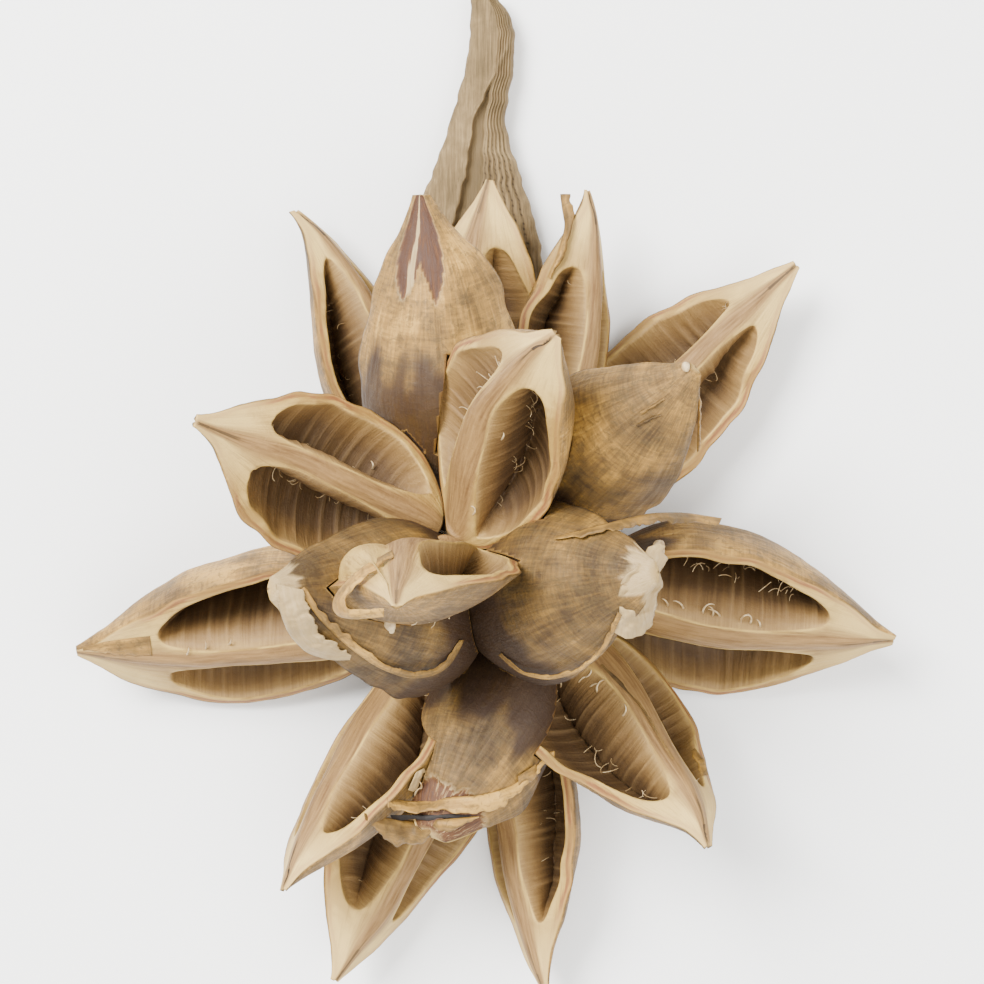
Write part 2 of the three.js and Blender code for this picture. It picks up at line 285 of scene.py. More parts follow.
VALVES = (
    ValveSpec("front_right", (-11, -10.5, 66), (14.5, 37, 116.5), 31, 25.5, 61, -7, 1.0, ridge=(4.2, 2.2),
              port=(1.12, 1.08, 0.97, 0.82, 0.7), starboard=(1.0, 0.94, 0.9, 0.9, 1.0), to=0.75, fork=0.8,
              hooks=4, shallow=0.6),
    ValveSpec("front_left", (-12, -9, 62), (-69, 15.5, 102), -3, 23, 58, 0.8, 1.35, ridge=(2.2, 1.6),
              port=(1.0, 0.97, 1.0, 1.06, 0.85), starboard=(1.0, 0.9, 0.92, 1.06, 1.25), to=0.72,
              fork=0.3),
    ValveSpec("front_lower", (-12, -10, 66), (-21.7, -24.8, 136), -39, 26, 61, 2, 1.1, arch=7,
              ridge=(8, 3), keel=0.82, starboard=(1.0, 0.95, 0.85, 0.76, 0.8), dome=4, hooks=10,
              tone=-0.2),
    ValveSpec("right_front", (3.5, -29, 34), (40, -18.5, 104), 192, 18.8, 74, 0, 0.9, blunt=3.6,
              stain_and_shade=0.5, peel=Peel.BEAK, peel_from=0.93, tone=-1.1),
    ValveSpec("left_front", (-11, -32, 33), (-51, -22.5, 106), 164, 18.8, 74, 0, 0.9, blunt=3.6,
              stain_and_shade=0.44, peel=Peel.BEAK, peel_from=0.95, tone=-1.5),
    ValveSpec("upper_left_front", (-14.5, 1.5, 36), (-17, 72, 64), 180, 18.8, 74, 2.5, 1.0,
              port=(1.0, 1.0, 1.0, 1.06, 1.0), stain_and_shade=0.5, peel=Peel.VEES, tone=0.5),
    ValveSpec("upper_right_front", (16, 2, 36), (47.5, 29.5, 98), 180, 19.2, 74, 0, 0.9,
              port=(1.0, 1.0, 1.05, 1.15, 1.2), stain_and_shade=0.38, tone=-0.3),
    ValveSpec("left_lower", (-22.5, -39, 28), (-51, -97, 60), -58, 21.5, 64, 4, 1.1, ridge=(5, 3.2),
              port=(1.0, 1.08, 1.08, 1.06, 1.0), fork=1.0),
    ValveSpec("right_lower", (18.5, -30.5, 30), (53.5, -86, 58), 42, 24, 61, -5, 1.15, ridge=(3.6, 3.0),
              starboard=(1.3, 1.25, 1.12, 1.05, 1.0), fork=0.7, hooks=12),
    ValveSpec("lower_front", (9, -42, 12), (-16, -85, 50), 180, 19.5, 74, 0, 0.9, blunt=5,
              port=(0.7, 0.74, 0.82, 0.9, 1.0), starboard=(0.4, 0.52, 0.78, 1.0, 1.0), stain_and_shade=0.6,
              peel=Peel.LIP, tone=-0.8),
    ValveSpec("upper_right_inner", (16, 1.5, 33), (23.5, 76.8, 31), -44, 21, 52, 8, 1.1, ridge=(2.6, 2),
              port=(1.0, 1.0, 1.0, 0.95, 0.85), to=0.73, fork=0.5, tone=0.2),
    ValveSpec("upper_left_outer", (-16, 2.5, 26.6), (-50, 73, 14.5), -57, 19.5, 63, 7.5, 1.4, to=0.8,
              blunt=2.4, fork=0.6),
    ValveSpec("upper_right_outer", (17.5, 1.5, 25.4), (78, 58, 20.4), 15, 22.5, 54, -1, 1.1,
              port=(0.93, 0.97, 1.03, 1.05, 1.0), starboard=(1.0, 0.93, 0.9, 0.9, 0.9), fork=0.4),
    ValveSpec("left_outer", (-23.5, -35.5, 28.9), (-106, -40, 22.8), 50, 27, 80, -4.5, 1.05,
              ridge=(3.4, 2.6), port=(0.68, 0.78, 0.95, 1.12, 1.3), starboard=(1.0, 1.0, 0.96, 0.9, 0.8),
              to=0.73, tone=0.9),
    ValveSpec("right_outer", (20, -29, 30.3), (103, -38, 25.3), -50, 27.2, 82, 3.5, 1.05,
              ridge=(4.2, 3.2), starboard=(1.0, 1.03, 1.08, 1.06, 1.05), fork=0.4, hooks=14, tone=0.8),
    ValveSpec("lower_outer", (-2.5, -47, 29.6), (-40.5, -125, 21.4), 32, 27, 56, -5, 1.1, keel=0.9,
              fork=0.3),
    ValveSpec("lower_inner", (-1.5, -48, 24), (13, -128.5, 18), -52, 20, 62, 4.1, 1.3, ridge=(4.2, 3),
              fork=0.2),
    ValveSpec("upper_left_inner", (-13.5, 2.5, 31), (-2.5, 79.8, 27), 28, 24.5, 60, -2.5, 1.1, keel=0.8,
              port=(1.0, 1.0, 1.0, 0.8, 0.7), starboard=(1.0, 1.0, 1.0, 1.05, 1.15), tone=0.3),
)
STATIONS = (-0.15, 0.15, 0.35, 0.55, 0.75, 0.92, 1.15)


def profile(u: np.ndarray, values: tuple[float, ...]) -> np.ndarray:
    """Run a smooth curve through five given values along a valve.

    Args:
        u: place along the length.
        values: the curve's value at each station between the ends.

    Returns:
        The curve's value at each place.
    """
    knots = np.array(STATIONS)
    heights = np.array([values[0], *values, values[-1]])
    slopes = np.gradient(heights, knots)
    cell = np.clip(np.searchsorted(knots, u, side="right") - 1, 0, len(knots) - 2)
    width = knots[cell + 1] - knots[cell]
    t = np.clip((u - knots[cell]) / width, 0, 1)
    return (heights[cell] * (1 + 2 * t) * (1 - t) ** 2 + slopes[cell] * width * t * (1 - t) ** 2
            + heights[cell + 1] * t * t * (3 - 2 * t) + slopes[cell + 1] * width * t * t * (t - 1))


@dataclass
class Surface:
    """A grid of points with the values its finish reads, before it becomes a mesh."""

    points: np.ndarray
    marks: Marks


class MeshMaker:
    """Turns grids of points into plain meshes."""

    @staticmethod
    def lofted(name: str, surface: Surface) -> bpy.types.Object:
        """Join rings into one closed mesh with a hub at each end.

        Args:
            name: the new object's name.
            surface: rings of points, first axis along the piece.

        Returns:
            The linked object, in metres, with a point attribute for each mark.
        """
        rings, count = surface.points.shape[:2]
        body = surface.points.reshape(-1, 3)
        hubs = np.stack([surface.points[0].mean(axis=0), surface.points[-1].mean(axis=0)])
        verts = (np.concatenate([body, hubs]) - MIDDLE) * MILLIMETRE
        ring = np.arange(count)
        after = (ring + 1) % count
        start = np.arange(rings - 1)[:, None] * count
        sides = np.stack([start + ring, start + after, start + after + count, start + ring + count],
                         axis=-1)
        first, last = rings * count, rings * count + 1
        top = (rings - 1) * count
        faces = sides.reshape(-1, 4).tolist()
        faces += [(first, int(after[k]), int(k)) for k in ring]
        faces += [(last, int(top + k), int(top + after[k])) for k in ring]
        mesh = bpy.data.meshes.new(name)
        mesh.from_pydata(verts.tolist(), [], faces)
        for mark, values in surface.marks.items():
            wide = values.ndim == 3
            flat = values.reshape(-1, values.shape[-1]) if wide else values.reshape(-1)
            ends = [values[0].mean(axis=0), values[-1].mean(axis=0)]
            full = np.concatenate([flat, np.array(ends)])
            kind = "FLOAT_VECTOR" if wide else "FLOAT"
            layer = mesh.attributes.new(mark, kind, "POINT")
            layer.data.foreach_set("vector" if wide else "value", full.astype(np.float32).ravel())
        mesh.shade_smooth()
        return linked(name, mesh)

    @staticmethod
    def settled(thing: bpy.types.Object) -> bpy.types.Object:
        """Turn an object's modifiers into a plain mesh.

        Args:
            thing: an object with live modifiers.

        Returns:
            The same object, with the result as its mesh and no modifier.
        """
        graph = bpy.context.evaluated_depsgraph_get()
        mesh = bpy.data.meshes.new_from_object(thing.evaluated_get(graph), depsgraph=graph)
        thing.modifiers.clear()
        thing.data = mesh
        return thing


class Wiring:
    """Small helper that adds and joins nodes in one tree."""

    def __init__(self, tree: bpy.types.NodeTree) -> None:
        """Keep the tree to work on."""
        self.tree = tree

    def node(self, kind: str, inputs: dict[str, object] | None = None,
             **settings: object) -> bpy.types.Node:
        """Add a node, set its options, and fill or join its inputs.

        Args:
            kind: the node's type name.
            inputs: input name or place to a value or to a socket that feeds it.
            settings: options of the node.

        Returns:
            The new node.
        """
        made = self.tree.nodes.new(kind)
        for key, value in settings.items():
            setattr(made, key, value)
        for key, value in (inputs or {}).items():
            self.feed(made.inputs[key], value)
        return made

    def feed(self, socket: bpy.types.NodeSocket, value: object) -> None:
        """Join a socket to an input, or set the input's own value.

        Args:
            socket: the input.
            value: a socket that feeds it, or a plain value.
        """
        if isinstance(value, bpy.types.NodeSocket):
            self.tree.links.new(value, socket)
        else:
            socket.default_value = value

    def sum(self, kind: str, one: object, two: object = 0.0, clamp: bool = False) -> bpy.types.NodeSocket:
        """Add a math node and give its result.

        Args:
            kind: the operation, such as ADD or MULTIPLY.
            one: first number or socket.
            two: second number or socket.
            clamp: keep the result between 0 and 1.

        Returns:
            The result socket.
        """
        return self.node("ShaderNodeMath", {0: one, 1: two}, operation=kind, use_clamp=clamp).outputs[0]

    def ranged(self, value: object, low: float, high: float, start: float = 0.0,
               end: float = 1.0) -> bpy.types.NodeSocket:
        """Map a number from one range to another with a smooth rise.

        Args:
            value: the number or socket.
            low: lower end of its range.
            high: upper end of its range.
            start: result at the lower end.
            end: result at the upper end.

        Returns:
            The result socket.
        """
        made = self.node("ShaderNodeMapRange", {0: value, 1: low, 2: high, 3: start, 4: end},
                         interpolation_type="SMOOTHSTEP")
        return made.outputs[0]

    def mixed(self, share: object, one: object, two: object, blend: str = "MIX") -> bpy.types.NodeSocket:
        """Mix two colours.

        Args:
            share: how much of the second shows.
            one: first colour or socket.
            two: second colour or socket.
            blend: the way they mix.

        Returns:
            The colour socket.
        """
        made = self.node("ShaderNodeMix", {0: share, 6: one, 7: two}, data_type="RGBA", blend_type=blend)
        return made.outputs[2]

    def noise(self, place: object, scale: object, detail: float,
              roughness: float = 0.5) -> bpy.types.NodeSocket:
        """Add a noise texture.

        Args:
            place: the vector it is looked up at.
            scale: how many of its swells fit in one unit.
            detail: how many finer layers it has.
            roughness: how strong the finer layers are.

        Returns:
            The socket of its value.
        """
        made = self.node("ShaderNodeTexNoise", {"Vector": place, "Scale": scale, "Detail": detail,
                                                "Roughness": roughness})
        return made.outputs["Fac"]

    def around(self, value: object, share: object) -> bpy.types.NodeSocket:
        """Give how far a value between 0 and 1 is from its middle, times a share."""
        return self.sum("MULTIPLY", self.sum("SUBTRACT", value, 0.5), share)

    def group(self, tree: bpy.types.NodeTree, scale: float, place: object = None) -> bpy.types.Node:
        """Add a shared shader group.

        Args:
            tree: the group.
            scale: its scale.
            place: the vector it is looked up at, where it takes one.

        Returns:
            The group's node.
        """
        made = self.node("ShaderNodeGroup", {"Scale": scale}, node_tree=tree)
        if place is not None:
            self.feed(made.inputs["Vector"], place)
        return made

    def ramp(self, value: object, stops: list[tuple[float, str]]) -> bpy.types.NodeSocket:
        """Look a number up in a row of colours.

        Args:
            value: the number or socket.
            stops: place and display colour of each stop.

        Returns:
            The colour socket.
        """
        made = self.node("ShaderNodeValToRGB", {0: value})
        row = made.color_ramp.elements
        while len(row) < len(stops):
            row.new(0.5)
        for element, (place, code) in zip(row, stops):
            element.position = place
            element.color = linear(code)
        return made.outputs[0]

    def mark(self, name: str) -> bpy.types.NodeSocket:
        """Read a number stored on the mesh."""
        return self.node("ShaderNodeAttribute", attribute_name=name).outputs["Fac"]

    def mark_vector(self, name: str) -> bpy.types.NodeSocket:
        """Read a vector stored on the mesh."""
        return self.node("ShaderNodeAttribute", attribute_name=name).outputs["Vector"]


class Paint:
    """A new material with its wiring and its shader."""

    def __init__(self, name: str) -> None:
        """Make the material.

        Args:
            name: its name.
        """
        self.material = bpy.data.materials.new(name)
        self.material.use_nodes = True
        self.wiring = Wiring(self.material.node_tree)
        self.shader = self.material.node_tree.nodes["Principled BSDF"]

    def set(self, values: dict[str, object]) -> None:
        """Fill or join the shader's inputs."""
        for name, value in values.items():
            self.wiring.feed(self.shader.inputs[name], value)


class Effects:
    """Shader groups that several finishes share."""

    @staticmethod
    def _fresh(name: str, sockets_in: list[tuple[str, str, object]],
               sockets_out: list[tuple[str, str]]) -> bpy.types.NodeTree:
        """Make an empty group with named sockets.

        Args:
            name: the group's name.
            sockets_in: name, type and default of each input.
            sockets_out: name and type of each output.

        Returns:
            The new group.
        """
        tree = bpy.data.node_groups.new(name, "ShaderNodeTree")
        for label, kind, default in sockets_in:
            made = tree.interface.new_socket(label, in_out="INPUT", socket_type=kind)
            if default is not None:
                made.default_value = default
        for label, kind in sockets_out:
            tree.interface.new_socket(label, in_out="OUTPUT", socket_type=kind)
        return tree

    @classmethod
    def streaks(cls) -> bpy.types.NodeTree:
        """Build the group that draws fibres along a stored direction.

        Returns:
            A group from a vector to a streak mask and a height.
        """
        tree = cls._fresh("Fibre streaks", [("Vector", "NodeSocketVector", None),
                                            ("Scale", "NodeSocketFloat", 1.0),
                                            ("Contrast", "NodeSocketFloat", 1.0)],
                          [("Mask", "NodeSocketFloat"), ("Height", "NodeSocketFloat")])
        w = Wiring(tree)
        source = w.node("NodeGroupInput").outputs
        fine = w.noise(source["Vector"], source["Scale"], 5.0, 0.62)
        wide = w.noise(source["Vector"], w.sum("MULTIPLY", source["Scale"], 0.28), 2.0)
        both = w.sum("ADD", w.sum("MULTIPLY", fine, 0.7), w.sum("MULTIPLY", wide, 0.3))
        spread = w.around(both, w.sum("MULTIPLY", source["Contrast"], 3.2))
        w.node("NodeGroupOutput", {"Mask": w.sum("ADD", spread, 0.5, clamp=True), "Height": both})
        return tree

    @classmethod
    def mottling(cls) -> bpy.types.NodeTree:
        """Build the group that lays soft blotches over a piece.

        Returns:
            A group from a size in blotches per metre to a mask.
        """
        tree = cls._fresh("Mottling", [("Scale", "NodeSocketFloat", 60.0),
                                       ("Contrast", "NodeSocketFloat", 1.0)],
                          [("Mask", "NodeSocketFloat")])
        w = Wiring(tree)
        source = w.node("NodeGroupInput").outputs
        place = w.node("ShaderNodeTexCoord").outputs["Object"]
        warp = w.node("ShaderNodeTexNoise", {"Vector": place, "Detail": 2.0,
                                             "Scale": w.sum("MULTIPLY", source["Scale"], 0.6)})
        bent = w.node("ShaderNodeVectorMath", {0: warp.outputs["Color"], 1: (0.012, 0.012, 0.012)},
                      operation="MULTIPLY")
        moved = w.node("ShaderNodeVectorMath", {0: place, 1: bent.outputs[0]}, operation="ADD")
        blotch = w.noise(moved.outputs[0], source["Scale"], 5.0, 0.58)
        spread = w.around(blotch, w.sum("MULTIPLY", source["Contrast"], 3.4))
        w.node("NodeGroupOutput", {"Mask": w.sum("ADD", spread, 0.5, clamp=True)})
        return tree


@dataclass(frozen=True)
class HuskFinish:
    """Colours of a dried woody valve, from its skin to the floor of its chambers."""

    skin_dark: str = "3A2910"
    skin_mid: str = "644A20"
    skin_light: str = "8F6B2E"
    skin_pale: str = "AE863E"
    skin_olive: str = "5E4C28"
    # Dark colour of the stain mark: real stain, and painted shade at the crowded bases
    stain_and_shade: str = "2C1A0A"
    rim_edge: str = "7A5628"
    rim_skin: str = "A67E40"
    rim_line: str = "80522D"
    rim_inner: str = "AA8844"
    wood: str = "B59550"
    wood_warm: str = "8A6A30"
    wood_pale: str = "D3B470"
    pit_rim: str = "967844"
    pit_high: str = "84673A"
    pit_mid: str = "6D522D"
    pit_deep: str = "4C371F"
    # Painted highlight on the raised rib crests in the chambers
    rib_crest_highlight: str = "AD8D5E"
    band: str = "927142"
    band_dark: str = "614423"
    bare: str = "927A50"
    bare_light: str = "A48C63"
    bare_red: str = "3F2412"
    bare_pink: str = "583619"
    # Near-black painted shadow for the slits at forked tips and for the shadow sheets
    slit_shadow: str = "120903"
    roughness: float = 0.62
    specular: float = 0.35
    grain_scale: float = 1.15
    weft_scale: float = 1.0
    blotch_scale: float = 70.0
    speck_scale: float = 420.0
    bump_strength: float = 0.55
    bump_depth: float = 0.0006
    face_reach: float = 6.0

    def build(self, streaks: bpy.types.NodeTree, mottling: bpy.types.NodeTree) -> bpy.types.Material:
        """Make the material that every valve wears.

        Args:
            streaks: the shared fibre group.
            mottling: the shared blotch group.

        Returns:
            The material.
        """
        paint = Paint("dried_husk")
        w = paint.wiring
        grain = w.group(streaks, self.grain_scale, w.mark_vector("grain"))
        weft = w.group(streaks, self.weft_scale, w.mark_vector("weft"))
        blotch = w.group(mottling, self.blotch_scale)
        speck = w.group(mottling, self.speck_scale)
        skin = self._skin(w, grain, weft, blotch, speck)
        face = self._face(w, grain, blotch)
        pit = self._pit(w, weft, blotch)
        solid = w.mixed(w.ranged(w.mark("pit"), 0.01, 0.06), face, pit)
        rough = w.ranged(grain.outputs["Mask"], 0.0, 1.0, self.roughness + 0.12, self.roughness - 0.08)
        on_face = w.sum("MULTIPLY", grain.outputs["Height"], w.ranged(w.mark("pit"), 0.0, 0.1, 0.8, 0.0))
        in_pit = w.sum("MULTIPLY", weft.outputs["Height"], w.ranged(w.mark("pit"), 0.0, 0.1, 0.0, 1.3))
        relief = w.sum("ADD", w.sum("ADD", on_face, in_pit), w.sum("MULTIPLY", speck.outputs["Mask"], 0.18))
        bump = w.node("ShaderNodeBump", {"Height": relief, "Strength": self.bump_strength,
                                         "Distance": self.bump_depth})
        paint.set({"Base Color": w.mixed(w.mark("skin"), solid, skin), "Roughness": rough,
                   "Specular IOR Level": self.specular, "Normal": bump.outputs[0]})
        return paint.material

    def _skin(self, w: Wiring, grain: bpy.types.Node, weft: bpy.types.Node, blotch: bpy.types.Node,
              speck: bpy.types.Node) -> bpy.types.NodeSocket:
        """Colour the outer skin, its real stains together with the painted shade they carry at the crowded
        bases, the painted light and shade of each piece's tone, and the wood where it has peeled.

        Args:
            w: the tree in hand.
            grain: the fibre group's node.
            weft: the cross-fibre group's node.
            blotch: the large blotches.
            speck: the small blotches.

        Returns:
            The colour socket.
        """
        level = w.sum("ADD", w.sum("MULTIPLY", blotch.outputs["Mask"], 0.62),
                      w.sum("MULTIPLY", grain.outputs["Mask"], 0.38))
        level = w.sum("ADD", level, w.around(weft.outputs["Mask"], 0.3))
        # Painted light and shade: each piece's tone raises and lowers the skin's level
        level = w.sum("ADD", level, w.sum("MULTIPLY", w.mark("tone"), 0.22))
        colour = w.ramp(level, [(0.0, self.skin_dark), (0.42, self.skin_mid), (0.78, self.skin_light),
                                (1.0, self.skin_pale)])
        olive = w.mixed(w.ranged(speck.outputs["Mask"], 0.4, 0.85, 0.0, 0.28), colour,
                        linear(self.skin_olive))
        # Real stains and painted shade at the bases darken the skin here
        stained_and_shaded = w.mixed(w.sum("MULTIPLY", w.mark("stain_and_shade"), 0.93), olive, linear(self.stain_and_shade))
        dotted = w.mixed(w.ranged(speck.outputs["Mask"], 0.62, 0.95, 0.0, 0.35), stained_and_shaded,
                         linear(self.skin_dark))
        bare = w.ramp(w.sum("ADD", w.sum("MULTIPLY", grain.outputs["Mask"], 0.6), w.mark("bare_red")),
                      [(0.0, self.bare), (0.45, self.bare_light), (0.7, self.bare_pink),
                       (1.0, self.bare_red)])
        return w.mixed(w.mark("peel"), dotted, bare)

    def _face(self, w: Wiring, grain: bpy.types.Node, blotch: bpy.types.Node) -> bpy.types.NodeSocket:
        """Colour the split faces: skin edge, pink line, pale wood and the fibrous ridge, with black painted
        shadow in the slits.

        Args:
            w: the tree in hand.
            grain: the fibre group's node.
            blotch: the large blotches.

        Returns:
            The colour socket.
        """
        across = w.sum("ADD", w.mark("rim"), w.around(grain.outputs["Mask"], 0.9))
        layers = w.ramp(w.sum("DIVIDE", across, self.face_reach),
                        [(0.0, self.rim_edge), (0.1, self.rim_skin), (0.2, self.rim_line),
                         (0.26, self.rim_line), (0.36, self.rim_inner), (0.5, self.wood),
                         (1.0, self.wood)])
        warm = w.mixed(w.ranged(blotch.outputs["Mask"], 0.3, 0.85, 0.0, 0.75), layers,
                       linear(self.wood_warm))
        warm = w.mixed(w.ranged(grain.outputs["Mask"], 0.45, 0.1, 0.0, 0.45), warm, linear(self.band_dark))
        warm = w.mixed(w.sum("MULTIPLY", w.mark("beak"), 0.6), warm, linear(self.wood_pale))
        band = w.mixed(grain.outputs["Mask"], linear(self.band_dark), linear(self.band))
        mixed = w.mixed(w.sum("MULTIPLY", w.mark("band"), 0.95), warm, band)
        return w.mixed(w.mark("slit_shadow"), mixed, linear(self.slit_shadow))

    def _pit(self, w: Wiring, weft: bpy.types.Node, blotch: bpy.types.Node) -> bpy.types.NodeSocket:
        """Colour the chambers, darker towards their floor as painted shade, with silky cross fibres and a
        painted highlight on the rib crests.

        Args:
            w: the tree in hand.
            weft: the cross-fibre group's node.
            blotch: the large blotches.

        Returns:
            The colour socket.
        """
        # Painted shade: the deeper the wall lies in the chamber, the darker its colour
        level = w.sum("ADD", w.mark("pit"), w.around(weft.outputs["Mask"], -0.3))
        level = w.sum("ADD", level, w.around(blotch.outputs["Mask"], -0.2), clamp=True)
        base = w.ramp(level, [(0.0, self.pit_rim), (0.18, self.pit_high), (0.5, self.pit_mid),
                              (1.0, self.pit_deep)])
        # Painted highlight: rib crests are paled by their height
        return w.mixed(w.sum("MULTIPLY", w.mark("rib"), 0.22), base, linear(self.rib_crest_highlight))


@dataclass(frozen=True)
class StrapFinish:
    """Grey-tan dried stem with lengthwise ribs and rows of pores, with painted shade in the grooves between
    the ribs.
    """

    dark: str = "493B22"
    mid: str = "6F5B3C"
    light: str = "907A55"
    # Painted shade in the stem's sunken channel
    hollow: str = "58482E"
    # Dark colour of the real pores and of the painted shade in the rib grooves
    pore_and_shade: str = "291F12"
    roughness: float = 0.8
    specular: float = 0.3
    grain_scale: float = 1.3
    blotch_scale: float = 90.0
    bump_strength: float = 0.7
    bump_depth: float = 0.0006

    def build(self, streaks: bpy.types.NodeTree, mottling: bpy.types.NodeTree) -> bpy.types.Material:
        """Make the stem's material.

        Args:
            streaks: the shared fibre group.
            mottling: the shared blotch group.

        Returns:
            The material.
        """
        paint = Paint("dried_strap")
        w = paint.wiring
        grain = w.group(streaks, self.grain_scale, w.mark_vector("grain"))
        blotch = w.group(mottling, self.blotch_scale)
        level = w.sum("ADD", w.sum("MULTIPLY", grain.outputs["Mask"], 0.6),
                      w.sum("MULTIPLY", blotch.outputs["Mask"], 0.4))
        colour = w.ramp(level, [(0.0, self.dark), (0.5, self.mid), (1.0, self.light)])
        # Painted shade: the sunken channel is darkened
        hollow = w.mixed(w.sum("MULTIPLY", w.mark("hollow"), 0.75), colour, linear(self.hollow))
        relief = w.sum("ADD", grain.outputs["Height"], w.sum("MULTIPLY", blotch.outputs["Mask"], 0.2))
        bump = w.node("ShaderNodeBump", {"Height": relief, "Strength": self.bump_strength,
                                         "Distance": self.bump_depth})
        paint.set({"Base Color": w.mixed(w.mark("pore_and_shade"), hollow, linear(self.pore_and_shade)),
                   "Roughness": self.roughness, "Specular IOR Level": self.specular,
                   "Normal": bump.outputs[0]})
        return paint.material


@dataclass(frozen=True)
class FibreFinish:
    """Pale silky fibre that lines the chambers."""

    light: str = "CDB68C"
    dark: str = "94764A"
    roughness: float = 0.5
    blotch_scale: float = 300.0

    def build(self, mottling: bpy.types.NodeTree) -> bpy.types.Material:
        """Make the fibre material.

        Args:
            mottling: the shared blotch group.

        Returns:
            The material.
        """
        paint = Paint("silky_fibre")
        w = paint.wiring
        blotch = w.group(mottling, self.blotch_scale)
        colour = w.mixed(blotch.outputs["Mask"], linear(self.light), linear(self.dark))
        paint.set({"Base Color": colour, "Roughness": self.roughness})
        return paint.material


class ShapeTree:
    """A Geometry Nodes tree that reshapes a mesh by a few named inputs."""

    FINISH = "Finish"

    def __init__(self, name: str, inputs: dict[str, float]) -> None:
        """Make the tree with its sockets, ready to be wired.

        Args:
            name: the tree's name.
            inputs: label and usual value of each number it takes.
        """
        self.tree = bpy.data.node_groups.new(name, "GeometryNodeTree")
        face = self.tree.interface
        face.new_socket("Geometry", in_out="INPUT", socket_type="NodeSocketGeometry")
        for label, value in inputs.items():
            kind = "NodeSocketInt" if isinstance(value, int) else "NodeSocketFloat"
            face.new_socket(label, in_out="INPUT", socket_type=kind).default_value = value
        face.new_socket(self.FINISH, in_out="INPUT", socket_type="NodeSocketMaterial")
        face.new_socket("Geometry", in_out="OUTPUT", socket_type="NodeSocketGeometry")

    def close(self, w: Wiring, shape: bpy.types.NodeSocket, finish: bpy.types.NodeSocket) -> None:
        """Make the shape real, give it its material and pass it on.

        Args:
            w: the tree in hand.
            shape: the geometry's socket.
            finish: the material's socket.
        """
        whole = w.node("GeometryNodeRealizeInstances", {0: shape})
        dressed = w.node("GeometryNodeSetMaterial", {"Geometry": whole.outputs[0], "Material": finish})
        w.node("NodeGroupOutput", {"Geometry": dressed.outputs[0]})

    def run(self, thing: bpy.types.Object, values: dict[str, object]) -> bpy.types.Object:
        """Run the tree on a mesh.

        Args:
            thing: the mesh's object.
            values: inputs by their label.

        Returns:
            The same object with the result as its plain mesh.
        """
        step = thing.modifiers.new("shape", "NODES")
        step.node_group = self.tree
        names = {item.name: item.identifier for item in self.tree.interface.items_tree
                 if item.in_out == "INPUT"}
        for label, value in values.items():
            step[names[label]] = value
        return MeshMaker.settled(thing)


class ReliefTree(ShapeTree):
    """Raises the chamber ribs of a lofted valve and roughens it."""

    PITCH = "Rib Pitch"
    HEIGHT = "Rib Height"
    DENTS = "Dent Height"
    GRAIN = "Grain Height"

    def __init__(self) -> None:
        """Build the tree once, for every valve."""
        super().__init__("Husk relief", {self.PITCH: 4.9, self.HEIGHT: 0.0006, self.DENTS: 0.0005,
                                         self.GRAIN: 0.00012})
        w = Wiring(self.tree)
        source = w.node("NodeGroupInput").outputs
        grain = self._read(w, "grain", "FLOAT_VECTOR")
        weft = self._read(w, "weft", "FLOAT_VECTOR")
        depth = w.ranged(self._read(w, "pit", "FLOAT"), 0.12, 0.55)
        rib = w.sum("MULTIPLY", self._crest(w, weft, source[self.PITCH]), depth)
        place = w.node("GeometryNodeInputPosition").outputs[0]
        dents = w.around(w.noise(place, 75.0, 3.0), source[self.DENTS])
        skin = w.sum("MULTIPLY", self._read(w, "skin", "FLOAT"), 1.6)
        dents = w.sum("MULTIPLY", dents, w.sum("ADD", skin, 0.7))
        fibres = w.node("ShaderNodeMix", {0: depth, 2: w.noise(grain, 1.1, 4.0),
                                          3: w.noise(weft, 1.0, 4.0)})
        grains = w.around(fibres.outputs[0], source[self.GRAIN])
        lift = w.sum("ADD", w.sum("MULTIPLY", rib, source[self.HEIGHT]), w.sum("ADD", dents, grains))
        normal = w.node("GeometryNodeInputNormal").outputs[0]
        push = w.node("ShaderNodeVectorMath", {0: normal, 3: lift}, operation="SCALE").outputs[0]
        moved = w.node("GeometryNodeSetPosition", {"Geometry": source["Geometry"], "Offset": push})
        kept = w.node("GeometryNodeStoreNamedAttribute", {"Geometry": moved.outputs[0], "Name": "rib"},
                      data_type="FLOAT", domain="POINT")
        w.feed(kept.inputs["Value"], rib)
        self.close(w, kept.outputs[0], source[self.FINISH])

    def _crest(self, w: Wiring, weft: bpy.types.NodeSocket,
               pitch: bpy.types.NodeSocket) -> bpy.types.NodeSocket:
        """Wire the height of the ribs: wandering, pointed, and higher in some places.

        Args:
            w: the tree in hand.
            weft: the direction of the cross fibres.
            pitch: the distance between ribs.

        Returns:
            The height's socket, between 0 and 1.
        """
        wander = w.sum("MULTIPLY", w.noise(weft, 0.22, 2.0), 5.5)
        turn = w.sum("DIVIDE", w.sum("ADD", self._read(w, "along", "FLOAT"), wander), pitch)
        wave = w.sum("ABSOLUTE", w.sum("SINE", w.sum("MULTIPLY", turn, math.pi)))
        uneven = w.ranged(w.noise(weft, 0.5, 1.0), 0.35, 0.65)
        return w.sum("MULTIPLY", w.sum("POWER", w.sum("SUBTRACT", 1.0, wave), 1.3), uneven)

    @staticmethod
    def _read(w: Wiring, name: str, kind: str) -> bpy.types.NodeSocket:
        """Read a value stored on the incoming mesh."""
        return w.node("GeometryNodeInputNamedAttribute", {"Name": name},
                      data_type=kind).outputs["Attribute"]


